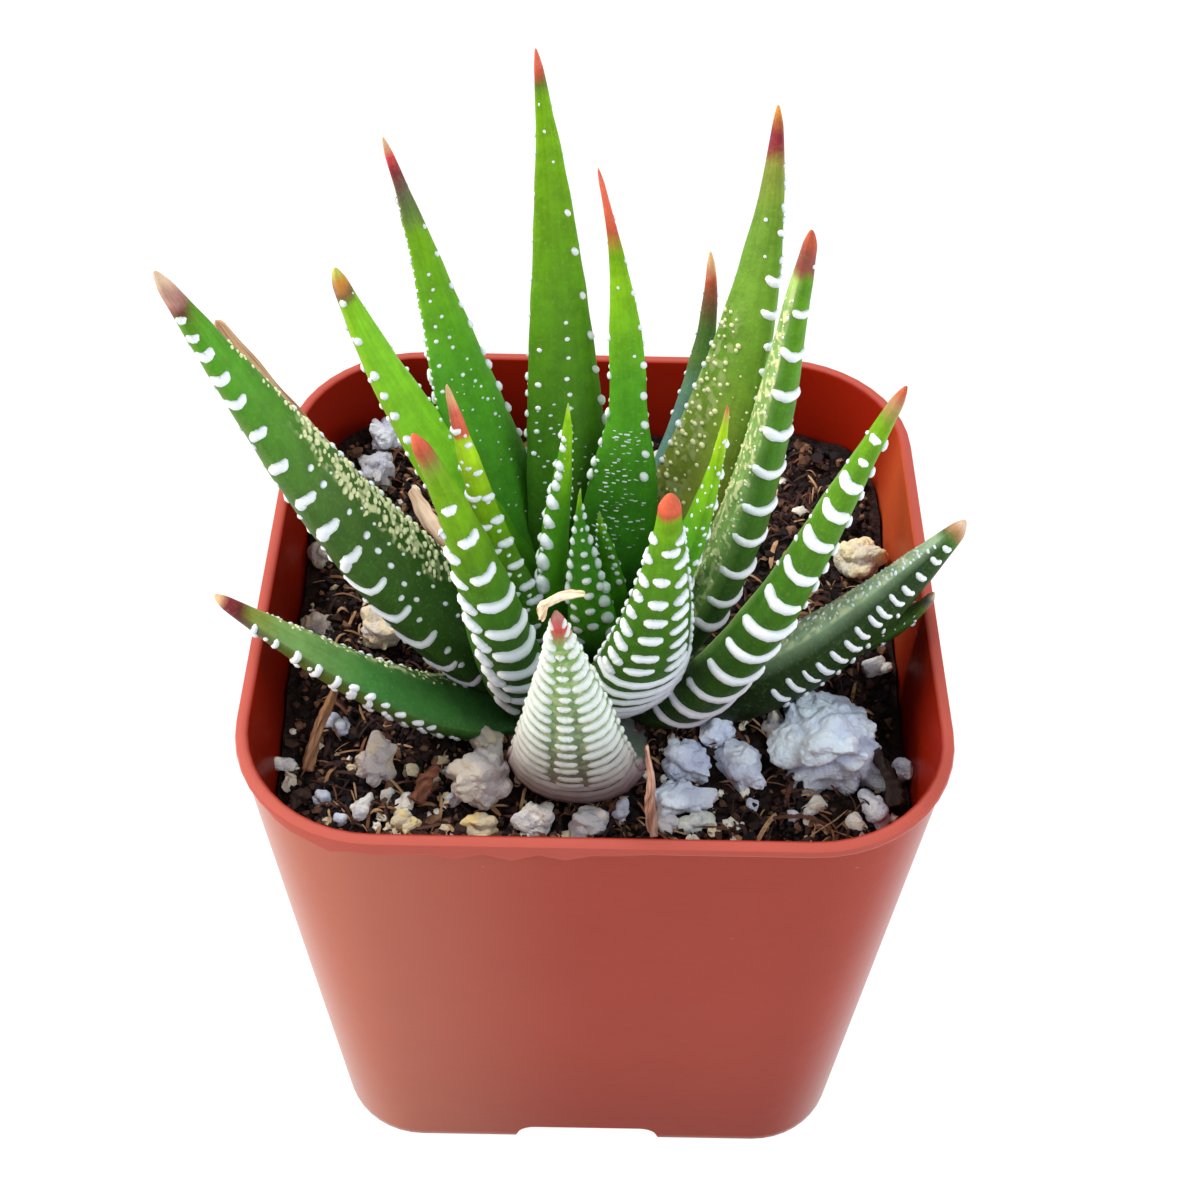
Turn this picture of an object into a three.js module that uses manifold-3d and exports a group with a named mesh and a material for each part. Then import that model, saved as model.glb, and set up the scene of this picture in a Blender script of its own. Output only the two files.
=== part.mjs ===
// A zebra haworthia in a square plastic nursery pot. Millimetres, +Z up, origin under the middle of the pot.
import * as THREE from "three";
import Module from "manifold-3d";

const wasm = await Module();
wasm.setup();

const GAP = 0.3; // air between neighbouring pieces

// The pot: a tapering rounded square.
const POT_HEIGHT = 56.3;
const POT_TOP_HALF = 28.2; // wall, just under the lip
const POT_BOTTOM_HALF = 24.2;
const POT_TOP_CORNER = 11.6;
const POT_BOTTOM_CORNER = 8;
const WALL = 0.9;
const LIP_OUT = 0.3;
const LIP_HIGH = 1.2;
const EDGE_ROUND = 0.5;
const FOOT_HIGH = 2; // the floor is raised this far above the feet
const FOOT_WIDE = 2.4;
const FLOOR_THICK = 1.3;
const NOTCH_HIGH = 1.9;
const NOTCH_TOP = 12.7;
const NOTCH_BASE = 15.9;
const DRAIN_RADIUS = 2;
const DRAIN_OFFSET = 11;
const DRAIN_SIDES = 12;
const CORNER_STEPS = 6;
const LIP_STEP = 0.2; // height over which the wall steps out to the lip

// The soil and the short stem.
const SOIL_TOP = 46.4;
const BANK_BACK = 1.6;
const BANK_LEFT = 2.2;
const BANK_RIGHT = 0.9;
const SOIL_RINGS = 9;
const HEART = [-0.5, -2];
const STEM_RADIUS = 2;
const STEM_FOOT = 36;
const STEM_TOP = 49.5;
const STEM_SIDES = 14;

// Leaves, outermost first. heading: where the leaf's upper face turns its back, in degrees from +X.
// root: distance from the heart and height. near, far: the two bends of the midline. tip: its end.
// wide and thick: the body at its broadest. end: bluntness of the tip. fine: how drawn-out the tip is.
// roll: turn about the midline, in degrees. bars: raised white cross bands on the back. colour: main green.
const LEAVES = {
  leaf_01: { heading: 8, root: [3, 45.5], near: [11, -1, 46.5], far: [23.5, -2.5, 47],
    tip: [27.6, -5, 59.8], wide: 3.6, thick: 2.4, end: 0.3, fine: 1, roll: 0,
    bars: 8, colour: "#55683a" },
  leaf_02: { heading: 4, root: [3, 46.5], near: [13.5, -9.2, 50], far: [21, -4.6, 56.5],
    tip: [29.8, -1.5, 64.8], wide: 8.8, thick: 6.8, end: 0.6, fine: 1, roll: 42,
    bars: 12, colour: "#7d9a72" },
  leaf_03: { heading: 200, root: [3, 46.5], near: [-11, -10.5, 45.5], far: [-18, -12.5, 56],
    tip: [-30, -10.5, 64], wide: 6.4, thick: 3.2, end: 0.4, fine: 1, roll: 0,
    bars: 11, colour: "#84906c" },
  leaf_04: { heading: 67, root: [3, 46], near: [3, 3.5, 55.5], far: [10.3, 14.5, 63.5],
    tip: [8.9, 18, 76.5], wide: 3.8, thick: 2.2, end: 0.2, fine: 1, roll: 0,
    bars: 8, colour: "#6c9a76" },
  leaf_05: { heading: 186, root: [3, 46.5], near: [-14, -6.5, 54], far: [-23.5, -6.5, 77.5],
    tip: [-30.9, -6, 92], wide: 8.6, thick: 4.6, end: 0.4, fine: 1.15, roll: 24,
    bars: 14, colour: "#74a84a" },
  leaf_06: { heading: 136, root: [3, 47], near: [-9, 0, 62.5], far: [-12.5, 11, 76],
    tip: [-17.2, 14, 89.7], wide: 9.4, thick: 3.2, end: 0.3, fine: 1.6, roll: 0,
    bars: 12, colour: "#4fa344" },
  leaf_07: { heading: 50, root: [3, 47], near: [7, -1.5, 63], far: [13.3, 7.5, 76.5],
    tip: [12.7, 12, 94.5], wide: 8, thick: 3.6, end: 0.3, fine: 1.2, roll: 0,
    bars: 13, colour: "#6b9a3c" },
  leaf_08: { heading: -28, root: [3, 46.5], near: [10, -13, 46.5], far: [16.8, -12.5, 78],
    tip: [20.5, -13, 89], wide: 4.3, thick: 3.8, end: 0.4, fine: 1.15, roll: 60,
    bars: 13, colour: "#7f8a70" },
  leaf_09: { heading: -95, root: [3, 46.5], near: [-2, -18.5, 42], far: [-1.5, -17.5, 62],
    tip: [-3, -20, 73.5], wide: 11.4, thick: 4.8, end: 0.6, fine: 1.25, roll: 0,
    bars: 18, colour: "#a7b884" },
  leaf_10: { heading: 157, root: [2.6, 47.5], near: [-7.5, -1, 61], far: [-16, 3, 70.5],
    tip: [-20.6, 6, 83.3], wide: 6.3, thick: 3, end: 0.7, fine: 1, roll: 0,
    bars: 10, colour: "#4ba03c" },
  leaf_11: { heading: 100, root: [2.6, 47.5], near: [-3.3, 1.5, 64], far: [-3, 11.5, 81.5],
    tip: [-5.4, 15, 97], wide: 7.5, thick: 3.2, end: 0.25, fine: 1.25, roll: 0,
    bars: 13, colour: "#52a838" },
  leaf_12: { heading: 17, root: [2.6, 47.5], near: [12, -6, 57], far: [12.8, 2, 76],
    tip: [14.9, 2, 90.6], wide: 7, thick: 3.8, end: 0.7, fine: 1.15, roll: 22,
    bars: 12, colour: "#8dc058" },
  leaf_13: { heading: 222, root: [2.6, 47.5], near: [-8.6, -8.5, 46], far: [-6.6, -13, 68.5],
    tip: [-13.1, -13, 83.8], wide: 4.9, thick: 4.6, end: 0.7, fine: 1.2, roll: -50,
    bars: 12, colour: "#5e8f42" },
  leaf_14: { heading: 88, root: [2.2, 48.5], near: [2.5, -0.5, 64], far: [3.5, 4.5, 76],
    tip: [-0.6, 9, 90.7], wide: 7.2, thick: 2.8, end: 0.2, fine: 1.8, roll: 0,
    bars: 11, colour: "#9ac83c" },
  leaf_15: { heading: 235, root: [2.2, 49], near: [-8, -3, 59], far: [-9, -4.5, 69.5],
    tip: [-11.5, -4, 80.5], wide: 3, thick: 2.4, end: 0.2, fine: 1, roll: 0,
    bars: 10, colour: "#7fb83a" },
  leaf_16: { heading: -70, root: [2.2, 48], near: [3.5, -12, 53.5], far: [5.2, -13.5, 67.5],
    tip: [4.9, -14, 79.4], wide: 8.2, thick: 3.6, end: 0.8, fine: 1.6, roll: 0,
    bars: 14, colour: "#5c9c3c" },
  leaf_17: { heading: 8, root: [2.2, 48.5], near: [3.8, -7.5, 55.5], far: [8.7, -4, 67],
    tip: [9.3, -5, 79.8], wide: 6.2, thick: 2.6, end: 0.2, fine: 1.6, roll: 0,
    bars: 9, colour: "#549e44" },
  leaf_18: { heading: 150, root: [1.5, 49.5], near: [-5.5, -4, 58], far: [-2.5, -2.5, 67],
    tip: [-2.5, -3, 78], wide: 4.2, thick: 2.4, end: 0.15, fine: 1, roll: 0,
    bars: 9, colour: "#6f9f62" },
  leaf_19: { heading: -90, root: [1.2, 50], near: [0.5, -7, 56.5], far: [-2, -4, 62.5],
    tip: [-1.5, -5, 71], wide: 4.2, thick: 2.4, end: 0.15, fine: 1, roll: 0,
    bars: 8, colour: "#5f9c3a" },
  leaf_20: { heading: 80, root: [1, 50], near: [3, -3, 54], far: [0, -1.5, 61],
    tip: [0, -2, 65.5], wide: 2.8, thick: 1.8, end: 0.15, fine: 1, roll: 0,
    bars: 5, colour: "#8fa06a" },
};
const LEAF_SIDES = 8;
const CUTTER_RINGS = 12; // a leaf grown by the gap, to cut its neighbours with, is smooth
const BAR_HIGH = 0.3;
const FIRST_BAR = 0.06; // share of the length where the bars begin
const BAR_SPAN = 0.9;
const BAR_SPREAD = 0.45; // how much wider the bars are spaced towards the tip
const TIP_START = 0.975; // share of the length where the leaf closes to its point
const UPPER_SHARE = 0.3; // part of the thickness that lies above the margins
const CLASP = 0.25; // the lowest part of a leaf, drawn in where it clasps the stem
const CLASP_DROP = 0.2;
const THICK_POWER = 0.8; // thickness falls off later than width
const TIP_THICK = 1.6;

// Withered leaves: a path of points with the half width at each, and the thickness.
const DRY = {
  dry_leaf_back: { thick: 0.8, colour: "#c9a07a", path: [
    [-8.5, 0.8, 46.9, 0.9], [-13.5, 3, 53, 1.1], [-19, 3.5, 60.5, 1.1], [-25, 3.5, 70.2, 0.9],
    [-30.2, 3.5, 80.8, 0.35]] },
  dry_leaf_left: { thick: 0.8, colour: "#e3c3a4", path: [
    [-9, 4.4, 47.3, 0.9], [-13, 8.6, 48.6, 1.2], [-15.7, 12, 49.8, 1.2], [-17.6, 15.3, 51, 0.7]] },
  dry_leaf_front: { thick: 0.8, colour: "#c49a7c", path: [
    [4.8, -20.9, 47, 0.7], [4.5, -20.3, 49.5, 0.55], [4.6, -19.6, 52.5, 0.5], [4, -18.6, 56.5, 0.3]] },
  wood_splinter: { thick: 0.7, colour: "#b98d63", path: [
    [-24, -15.2, 47.2, 0.6], [-23.2, -11.8, 48.7, 0.5], [-21.8, -7.8, 50.4, 0.4]] },
  dark_twig: { thick: 0.8, colour: "#3b2a24", path: [
    [-25, -18.8, 46.8, 0.6], [-24.3, -17.8, 47.2, 0.9], [-23.4, -17, 46.9, 0.5]] },
  bark_chip: { thick: 1, colour: "#2e2320", path: [
    [24.8, -18, 47.6, 0.9], [24.4, -15.6, 48.6, 1.1], [23.2, -13.2, 49.2, 0.7]] },
  bark_flake: { thick: 0.9, colour: "#7b4a35", path: [
    [-14.6, -18.6, 48, 0.7], [-13.9, -17, 48.5, 0.8], [-12.9, -15.4, 48.7, 0.5]] },
};

// Perlite and pumice lying on the soil: centre, then half sizes, then a turn in degrees.
const STONES = {
  perlite_01: { at: [20, -11.4], half: [4.8, 5.2, 4.2], turn: 20, lumpy: 0.2, fine: 2, colour: "#ecebf0" },
  perlite_02: { at: [15.4, -9.6], half: [1.1, 2, 1.4], turn: 0, lumpy: 0.15, colour: "#e2d6c8" },
  perlite_03: { at: [7.9, -13], half: [2.2, 2, 1.8], turn: -10, lumpy: 0.16, colour: "#dfe0ea" },
  perlite_04: { at: [10.5, -10.2], half: [1.6, 1.6, 1.3], turn: 30, lumpy: 0.12, colour: "#dcdce6" },
  perlite_05: { at: [12.2, -13.5], half: [2, 2.9, 1.9], turn: 10, lumpy: 0.2, colour: "#e6e6f0" },
  perlite_06: { at: [6.8, -17], half: [2.6, 1.7, 1.6], turn: 12, lumpy: 0.2, colour: "#e4e4ee" },
  perlite_07: { at: [8.4, -18.9], half: [1.3, 1.1, 1], turn: 25, lumpy: 0.14, colour: "#d9dccb" },
  perlite_08: { at: [23.9, 9.8], half: [2.3, 2.3, 1.9], turn: 15, lumpy: 0.14, colour: "#e8dcb6" },
  perlite_09: { at: [-19.1, -0.5], half: [1.9, 2.1, 1.6], turn: 40, lumpy: 0.14, colour: "#e0cda9" },
  perlite_10: { at: [-9.3, -11.4], half: [1.3, 1.6, 1.3], turn: 0, lumpy: 0.06, colour: "#cbbda0" },
  perlite_11: { at: [-9.2, -15.4], half: [2.6, 3.4, 2.4], turn: -20, lumpy: 0.18, colour: "#d8c8b8" },
  perlite_12: { at: [-4.8, -18.9], half: [1.8, 1.7, 1.5], turn: 25, lumpy: 0.05, colour: "#e9e3da" },
  perlite_13: { at: [-15.5, -20], half: [1.1, 1, 0.9], turn: 10, lumpy: 0.1, colour: "#dcc48c" },
  perlite_14: { at: [-9.1, -19.3], half: [1.6, 1.3, 1.2], turn: -8, lumpy: 0.12, colour: "#e3c98f" },
  perlite_15: { at: [-18.1, -14.2], half: [1.6, 2.6, 1.8], turn: -12, lumpy: 0.16, colour: "#bfae9a" },
  perlite_16: { at: [-24.9, 8.4], half: [1.3, 1.3, 1.1], turn: 0, lumpy: 0.14, colour: "#d5c6b0" },
  perlite_17: { at: [-24.9, 0.2], half: [1.3, 1.4, 1.1], turn: 15, lumpy: 0.14, colour: "#cdb9a2" },
  perlite_18: { at: [-20.4, 22.6], half: [1.6, 1.8, 1.7], turn: 0, lumpy: 0.08, colour: "#d9dae4" },
  perlite_19: { at: [-21, 19], half: [1.6, 2, 1.5], turn: 20, lumpy: 0.1, colour: "#aaa9ab" },
  perlite_20: { at: [-0.4, -19.4], half: [1.9, 1.5, 1.4], turn: 5, lumpy: 0.18, colour: "#d6d2cf" },
  perlite_21: { at: [23.2, -17.8], half: [1.2, 1.7, 1.2], turn: 30, lumpy: 0.18, colour: "#e3e3ec" },
  perlite_22: { at: [5.8, 21.8], half: [1.4, 1.5, 1.2], turn: 30, lumpy: 0.12, colour: "#bdb4ac" },
  perlite_23: { at: [24.9, -2.8], half: [1.3, 0.8, 0.8], turn: 10, lumpy: 0.1, colour: "#e8e4dc" },
};

// Colour, roughness and metalness of each kind of surface. Leaves, dry bits and stones bring their colour.
const POT_PLASTIC = { color: "#b4523f", roughness: 0.45, metalness: 0 };
const PEAT = { color: "#3a2a22", roughness: 0.95, metalness: 0 };
const STEM_SKIN = { color: "#8f9a63", roughness: 0.6, metalness: 0 };
const leafSkin = (colour) => ({ color: colour, roughness: 0.42, metalness: 0 });
const driedSkin = (colour) => ({ color: colour, roughness: 0.8, metalness: 0 });
const stoneFace = (colour) => ({ color: colour, roughness: 0.9, metalness: 0 });

// Geometry helpers

function solidFrom(points, faces) {
  const vertProperties = new Float32Array(points.flat());
  const triVerts = new Uint32Array(faces.flat());
  return new wasm.Manifold(new wasm.Mesh({ numProp: 3, vertProperties, triVerts }));
}

// Joins closed rings of equal length into one solid, with a fan over each end.
function loft(rings) {
  const count = rings[0].length;
  const points = rings.flat();
  const faces = [];
  for (let r = 0; r + 1 < rings.length; r++) {
    for (let k = 0; k < count; k++) {
      const a = r * count + k;
      const b = r * count + ((k + 1) % count);
      faces.push([a, b, b + count], [a, b + count, a + count]);
    }
  }
  const ends = [[rings[0], 0, true], [rings[rings.length - 1], (rings.length - 1) * count, false]];
  for (const [ring, start, first] of ends) {
    const middle = [0, 1, 2].map((i) => ring.reduce((s, p) => s + p[i], 0) / count);
    points.push(middle);
    for (let k = 0; k < count; k++) {
      const a = start + k;
      const b = start + ((k + 1) % count);
      faces.push(first ? [points.length - 1, b, a] : [points.length - 1, a, b]);
    }
  }
  return solidFrom(points, faces);
}

function largest(solid) {
  const bodies = solid.decompose();
  return bodies.reduce((best, b) => (b.volume() > best.volume() ? b : best));
}

function without(name, solid, cutters) {
  let left = solid;
  for (const cutter of cutters) left = left.subtract(cutter);
  if (left.numTri() === 0) throw new Error(name + " lies wholly inside its neighbours");
  return largest(left);
}

// Counter-clockwise rounded square at height z.
function squareRing(half, corner, z) {
  const ring = [];
  const starts = [[1, 1], [-1, 1], [-1, -1], [1, -1]];
  starts.forEach(([sx, sy], quarter) => {
    for (let k = 0; k <= CORNER_STEPS; k++) {
      const angle = ((quarter + k / CORNER_STEPS) * Math.PI) / 2;
      ring.push([
        sx * (half - corner) + corner * Math.cos(angle),
        sy * (half - corner) + corner * Math.sin(angle),
        z,
      ]);
    }
  });
  return ring;
}

const potHalf = (z) => POT_BOTTOM_HALF + ((POT_TOP_HALF - POT_BOTTOM_HALF) * z) / POT_HEIGHT;
const potCorner = (z) => POT_BOTTOM_CORNER + ((POT_TOP_CORNER - POT_BOTTOM_CORNER) * z) / POT_HEIGHT;
const potRing = (z, inset, at = z) => squareRing(potHalf(z) - inset, potCorner(z) - inset, at);

function makePot() {
  const lipFoot = POT_HEIGHT - LIP_HIGH;
  const outside = loft([
    potRing(0, EDGE_ROUND),
    potRing(EDGE_ROUND, 0),
    potRing(lipFoot, 0),
    potRing(lipFoot, -LIP_OUT, lipFoot + LIP_STEP),
    potRing(POT_HEIGHT - EDGE_ROUND, -LIP_OUT),
    potRing(POT_HEIGHT, EDGE_ROUND - LIP_OUT),
  ]);
  const floorTop = FOOT_HIGH + FLOOR_THICK;
  const hollow = loft([
    potRing(floorTop, WALL + 1),
    potRing(floorTop + 1, WALL),
    potRing(POT_HEIGHT - EDGE_ROUND / 2, WALL),
    potRing(POT_HEIGHT + 1, WALL - EDGE_ROUND),
  ]);
  const under = loft([potRing(0, FOOT_WIDE, -1), potRing(FOOT_HIGH, FOOT_WIDE + 0.6)]);
  let pot = outside.subtract(hollow).subtract(under);
  const reach = POT_BOTTOM_HALF + 3;
  for (let side = 0; side < 4; side++) {
    const profile = [
      [-NOTCH_BASE / 2 - 1, -1], [NOTCH_BASE / 2 + 1, -1], [NOTCH_BASE / 2, 0],
      [NOTCH_BASE / 2 - 0.6, NOTCH_HIGH * 0.35], [NOTCH_TOP / 2 + 0.2, NOTCH_HIGH * 0.85],
      [NOTCH_TOP / 2 - 0.8, NOTCH_HIGH], [-NOTCH_TOP / 2 + 0.8, NOTCH_HIGH],
      [-NOTCH_TOP / 2 - 0.2, NOTCH_HIGH * 0.85], [-NOTCH_BASE / 2 + 0.6, NOTCH_HIGH * 0.35],
      [-NOTCH_BASE / 2, 0],
    ];
    const near = profile.map(([x, z]) => [x, -(POT_BOTTOM_HALF - FOOT_WIDE - 1.5), z]);
    const far = profile.map(([x, z]) => [x, -reach, z]);
    pot = pot.subtract(loft([near, far]).rotate([0, 0, side * 90]));
  }
  for (let k = 0; k < 4; k++) {
    const angle = ((k + 0.5) * Math.PI) / 2;
    const x = DRAIN_OFFSET * Math.cos(angle);
    const y = DRAIN_OFFSET * Math.sin(angle);
    const circle = (z) => Array.from({ length: DRAIN_SIDES }, (_, i) => [
      x + DRAIN_RADIUS * Math.cos((i * 2 * Math.PI) / DRAIN_SIDES),
      y + DRAIN_RADIUS * Math.sin((i * 2 * Math.PI) / DRAIN_SIDES),
      z,
    ]);
    pot = pot.subtract(loft([circle(0), circle(floorTop + 2)]));
  }
  return largest(pot);
}

// Share from 0 to 1, level at both ends.
function ease(share) {
  const t = Math.min(Math.max(share, 0), 1);
  return t * t * (3 - 2 * t);
}

// Height of the lumpy soil at a point. It is banked up at the back and along both sides.
function soilHeight(x, y) {
  const swell = 0.55 * Math.sin(0.31 * x + 1.2) * Math.cos(0.27 * y - 0.6);
  const lumps = 0.4 * Math.sin(0.83 * x - 0.51 * y) * Math.sin(0.47 * x + 0.91 * y + 0.8);
  const front = -0.9 * Math.exp(-((x + 1) ** 2 + (y + 17) ** 2) / 60);
  const back = BANK_BACK * ease((y - 6) / 16);
  const left = BANK_LEFT * ease((-x - 14) / 11) * ease((y + 18) / 14);
  const right = BANK_RIGHT * ease((x - 15) / 10) * ease((y + 14) / 14);
  return SOIL_TOP + swell + lumps + front + back + left + right;
}

function makeSoil(rise, spread) {
  const foot = FOOT_HIGH + FLOOR_THICK + GAP;
  const inset = WALL + GAP;
  const onTop = (ring, share) => ring.map(([x, y]) => {
    return [x * share, y * share, soilHeight(x * share, y * share) + rise];
  });
  const rings = [];
  for (let r = 1; r <= SOIL_RINGS; r++) rings.push(onTop(potRing(SOIL_TOP, inset), r / SOIL_RINGS));
  if (spread) rings.push(onTop(potRing(SOIL_TOP, inset - spread), 1));
  rings.push(potRing(foot + 8, inset - spread));
  rings.push(potRing(foot + 1, inset + 0.3), potRing(foot, inset + 1.4));
  return loft(rings.reverse());
}

function makeStem(extra) {
  const ring = (radius, z) => Array.from({ length: STEM_SIDES }, (_, i) => {
    const angle = (i * 2 * Math.PI) / STEM_SIDES;
    const flute = 1 + 0.05 * Math.sin(3 * angle);
    return [
      HEART[0] + (radius * flute + extra) * Math.cos(angle),
      HEART[1] + (radius * flute + extra) * Math.sin(angle),
      z,
    ];
  });
  return loft([
    ring(STEM_RADIUS * 0.8, STEM_FOOT - extra),
    ring(STEM_RADIUS, STEM_FOOT + 4),
    ring(STEM_RADIUS, STEM_TOP - 2),
    ring(STEM_RADIUS * 0.6, STEM_TOP + extra),
  ]);
}

const vec = (a) => new THREE.Vector3(...a);

// Where the bars of a leaf sit along it: close together at the root, wider apart towards the tip.
function barPlace(index, count) {
  const share = (index + 0.6) / (count + 0.4);
  return FIRST_BAR + BAR_SPAN * ((1 - BAR_SPREAD) * share + BAR_SPREAD * share * share);
}

function makeLeaf(leaf, extra) {
  const heading = THREE.MathUtils.degToRad(leaf.heading);
  const roll = THREE.MathUtils.degToRad(leaf.roll);
  const level = new THREE.Vector3(Math.sin(heading), -Math.cos(heading), 0);
  const root = new THREE.Vector3(
    HEART[0] + leaf.root[0] * Math.cos(heading),
    HEART[1] + leaf.root[0] * Math.sin(heading),
    leaf.root[1],
  );
  const curve = new THREE.CubicBezierCurve3(root, vec(leaf.near), vec(leaf.far), vec(leaf.tip));
  const places = [];
  if (extra) {
    for (let i = 0; i < CUTTER_RINGS; i++) places.push([(TIP_START * i) / CUTTER_RINGS, 0]);
  } else {
    places.push([0, 0]);
    for (let i = 0; i < leaf.bars; i++) {
      const here = barPlace(i, leaf.bars);
      const next = i + 1 < leaf.bars ? barPlace(i + 1, leaf.bars) : TIP_START;
      places.push([here, 1], [(here + next) / 2, 0]);
    }
  }
  places.push([TIP_START, 0], [1, 0]);
  const rings = places.map(([s, bar]) => {
    const centre = curve.getPointAt(s);
    const along = curve.getTangentAt(s);
    const up = new THREE.Vector3().crossVectors(level, along).normalize();
    const side = new THREE.Vector3().crossVectors(along, up);
    up.applyAxisAngle(along, -roll);
    side.applyAxisAngle(along, -roll);
    if (extra && (s === 0 || s === 1)) centre.addScaledVector(along, s === 0 ? -extra : extra);
    const clasp = 1 - CLASP_DROP * Math.max(0, 1 - s / CLASP) ** 2;
    const body = (1 - s * s) ** leaf.fine * clasp;
    const raised = extra ? extra + BAR_HIGH : bar * BAR_HIGH;
    const width = (leaf.wide / 2) * body + leaf.end;
    const thick = leaf.thick * body ** THICK_POWER + leaf.end * TIP_THICK;
    return Array.from({ length: LEAF_SIDES }, (_, k) => {
      const angle = (-k * 2 * Math.PI) / LEAF_SIDES;
      const across = Math.cos(angle);
      const rise = Math.sin(angle);
      const onBack = rise < 0.2 ? raised : extra;
      const x = across * (width + onBack);
      const y = rise > 0
        ? rise * (thick * UPPER_SHARE + extra)
        : rise * (thick * (1 - UPPER_SHARE) + onBack);
      const point = centre.clone().addScaledVector(side, x).addScaledVector(up, y);
      return [point.x, point.y, point.z];
    });
  });
  return loft(rings);
}

function makeDry(piece, extra) {
  const curve = new THREE.CatmullRomCurve3(piece.path.map(([x, y, z]) => new THREE.Vector3(x, y, z)));
  const steps = (piece.path.length - 1) * 2;
  const rings = [];
  for (let i = 0; i <= steps; i++) {
    const t = i / steps;
    const centre = curve.getPoint(t);
    const along = curve.getTangent(t);
    const side = new THREE.Vector3().crossVectors(along, new THREE.Vector3(0.25, 1, 0.1)).normalize();
    const up = new THREE.Vector3().crossVectors(side, along);
    const at = Math.min(piece.path.length - 2, Math.floor(i / 2));
    const share = i / 2 - at;
    const half = piece.path[at][3] * (1 - share) + piece.path[at + 1][3] * share;
    const curl = 0.25 * Math.sin(i * 1.7);
    const ring = [];
    for (let k = 0; k < 6; k++) {
      const angle = (k * Math.PI) / 3 + curl;
      const point = centre.clone()
        .addScaledVector(side, Math.cos(angle) * (half + extra))
        .addScaledVector(up, Math.sin(angle) * (piece.thick / 2 + extra));
      ring.push([point.x, point.y, point.z]);
    }
    rings.push(ring);
  }
  const solid = loft(rings);
  return solid.volume() < 0 ? loft(rings.map((ring) => ring.reverse())) : solid;
}

function makeStone(stone, index, extra) {
  const ball = new THREE.IcosahedronGeometry(1, stone.fine ?? 1);
  const spots = ball.getAttribute("position");
  const turn = THREE.MathUtils.degToRad(stone.turn);
  const seen = new Map();
  const points = [];
  const faces = [];
  const [x0, y0] = stone.at;
  const z0 = soilHeight(x0, y0) + stone.half[2] * 0.45;
  for (let i = 0; i < spots.count; i += 3) {
    faces.push([0, 1, 2].map((j) => {
      const p = new THREE.Vector3().fromBufferAttribute(spots, i + j).normalize();
      const key = [p.x, p.y, p.z].map((v) => Math.round(v * 1e4)).join();
      if (!seen.has(key)) {
        const knobs = Math.sin(4.1 * p.x + index) * Math.sin(3.7 * p.y + 2 * index);
        const wave = knobs + 0.7 * Math.sin(5.3 * p.z + index);
        const size = 1 + stone.lumpy * wave;
        const x = p.x * (stone.half[0] * size + extra);
        const y = p.y * (stone.half[1] * size + extra);
        const z = p.z * (stone.half[2] * size + extra);
        seen.set(key, points.length);
        points.push([
          x0 + x * Math.cos(turn) - y * Math.sin(turn),
          y0 + x * Math.sin(turn) + y * Math.cos(turn),
          z0 + z,
        ]);
      }
      return seen.get(key);
    }));
  }
  return solidFrom(points, faces);
}

// Assembly

const group = new THREE.Group();
group.name = "potted_haworthia";

function addNode(name, solid, surface) {
  const made = solid.getMesh();
  const geometry = new THREE.BufferGeometry();
  geometry.setAttribute("position", new THREE.BufferAttribute(new Float32Array(made.vertProperties), 3));
  geometry.setIndex(new THREE.BufferAttribute(new Uint32Array(made.triVerts), 1));
  geometry.computeVertexNormals();
  const mesh = new THREE.Mesh(geometry, new THREE.MeshStandardMaterial({ ...surface, flatShading: true }));
  mesh.name = name;
  group.add(mesh);
}

const pot = makePot();
addNode("pot", pot, POT_PLASTIC);
addNode("soil", largest(makeSoil(0, 0).subtract(makeStem(GAP))), PEAT);
addNode("stem", makeStem(0), STEM_SKIN);

const bed = makeSoil(GAP, 2);
const taken = [makeStem(GAP)];
for (const [name, leaf] of Object.entries(LEAVES).reverse()) {
  addNode(name, without(name, makeLeaf(leaf, 0), [...taken, bed]), leafSkin(leaf.colour));
  taken.push(makeLeaf(leaf, GAP));
}
for (const [name, piece] of Object.entries(DRY)) {
  addNode(name, without(name, makeDry(piece, 0), [...taken, bed]), driedSkin(piece.colour));
  taken.push(makeDry(piece, GAP));
}
Object.entries(STONES).forEach(([name, stone], index) => {
  addNode(name, without(name, makeStone(stone, index + 1, 0), [...taken, bed]), stoneFace(stone.colour));
  taken.push(makeStone(stone, index + 1, GAP));
});

export default group;
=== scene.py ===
"""A zebra haworthia in a square nursery pot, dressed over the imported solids.

Laid out as an add-on and run as a script. Lengths in the tables are millimetres in the part's own
frame: the origin on the ground under the middle of the pot, +Z up, the camera's side towards -Y.
"""

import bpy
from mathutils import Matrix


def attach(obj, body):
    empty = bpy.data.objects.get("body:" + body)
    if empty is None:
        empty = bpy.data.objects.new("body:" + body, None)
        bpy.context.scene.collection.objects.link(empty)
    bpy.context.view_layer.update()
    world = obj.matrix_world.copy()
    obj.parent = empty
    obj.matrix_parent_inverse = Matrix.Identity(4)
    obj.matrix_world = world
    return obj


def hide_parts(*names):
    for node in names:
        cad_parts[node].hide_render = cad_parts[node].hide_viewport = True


bl_info = {
    "name": "Potted Haworthia",
    "version": (1, 0, 0),
    "blender": (4, 5, 0),
    "location": "View3D > Sidebar > Haworthia",
    "description": "Models a zebra haworthia in a nursery pot on the packed frame",
    "category": "Object",
}

import math
import random

import bmesh
import bpy
import numpy as np
from mathutils import Matrix, Vector, noise

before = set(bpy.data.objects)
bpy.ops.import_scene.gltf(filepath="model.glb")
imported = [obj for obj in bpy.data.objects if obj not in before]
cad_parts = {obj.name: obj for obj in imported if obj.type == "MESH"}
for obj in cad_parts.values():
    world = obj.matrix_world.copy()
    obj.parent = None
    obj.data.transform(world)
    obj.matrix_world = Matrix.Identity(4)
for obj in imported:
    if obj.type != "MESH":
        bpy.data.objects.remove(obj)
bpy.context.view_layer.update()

MM = 0.001

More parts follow.
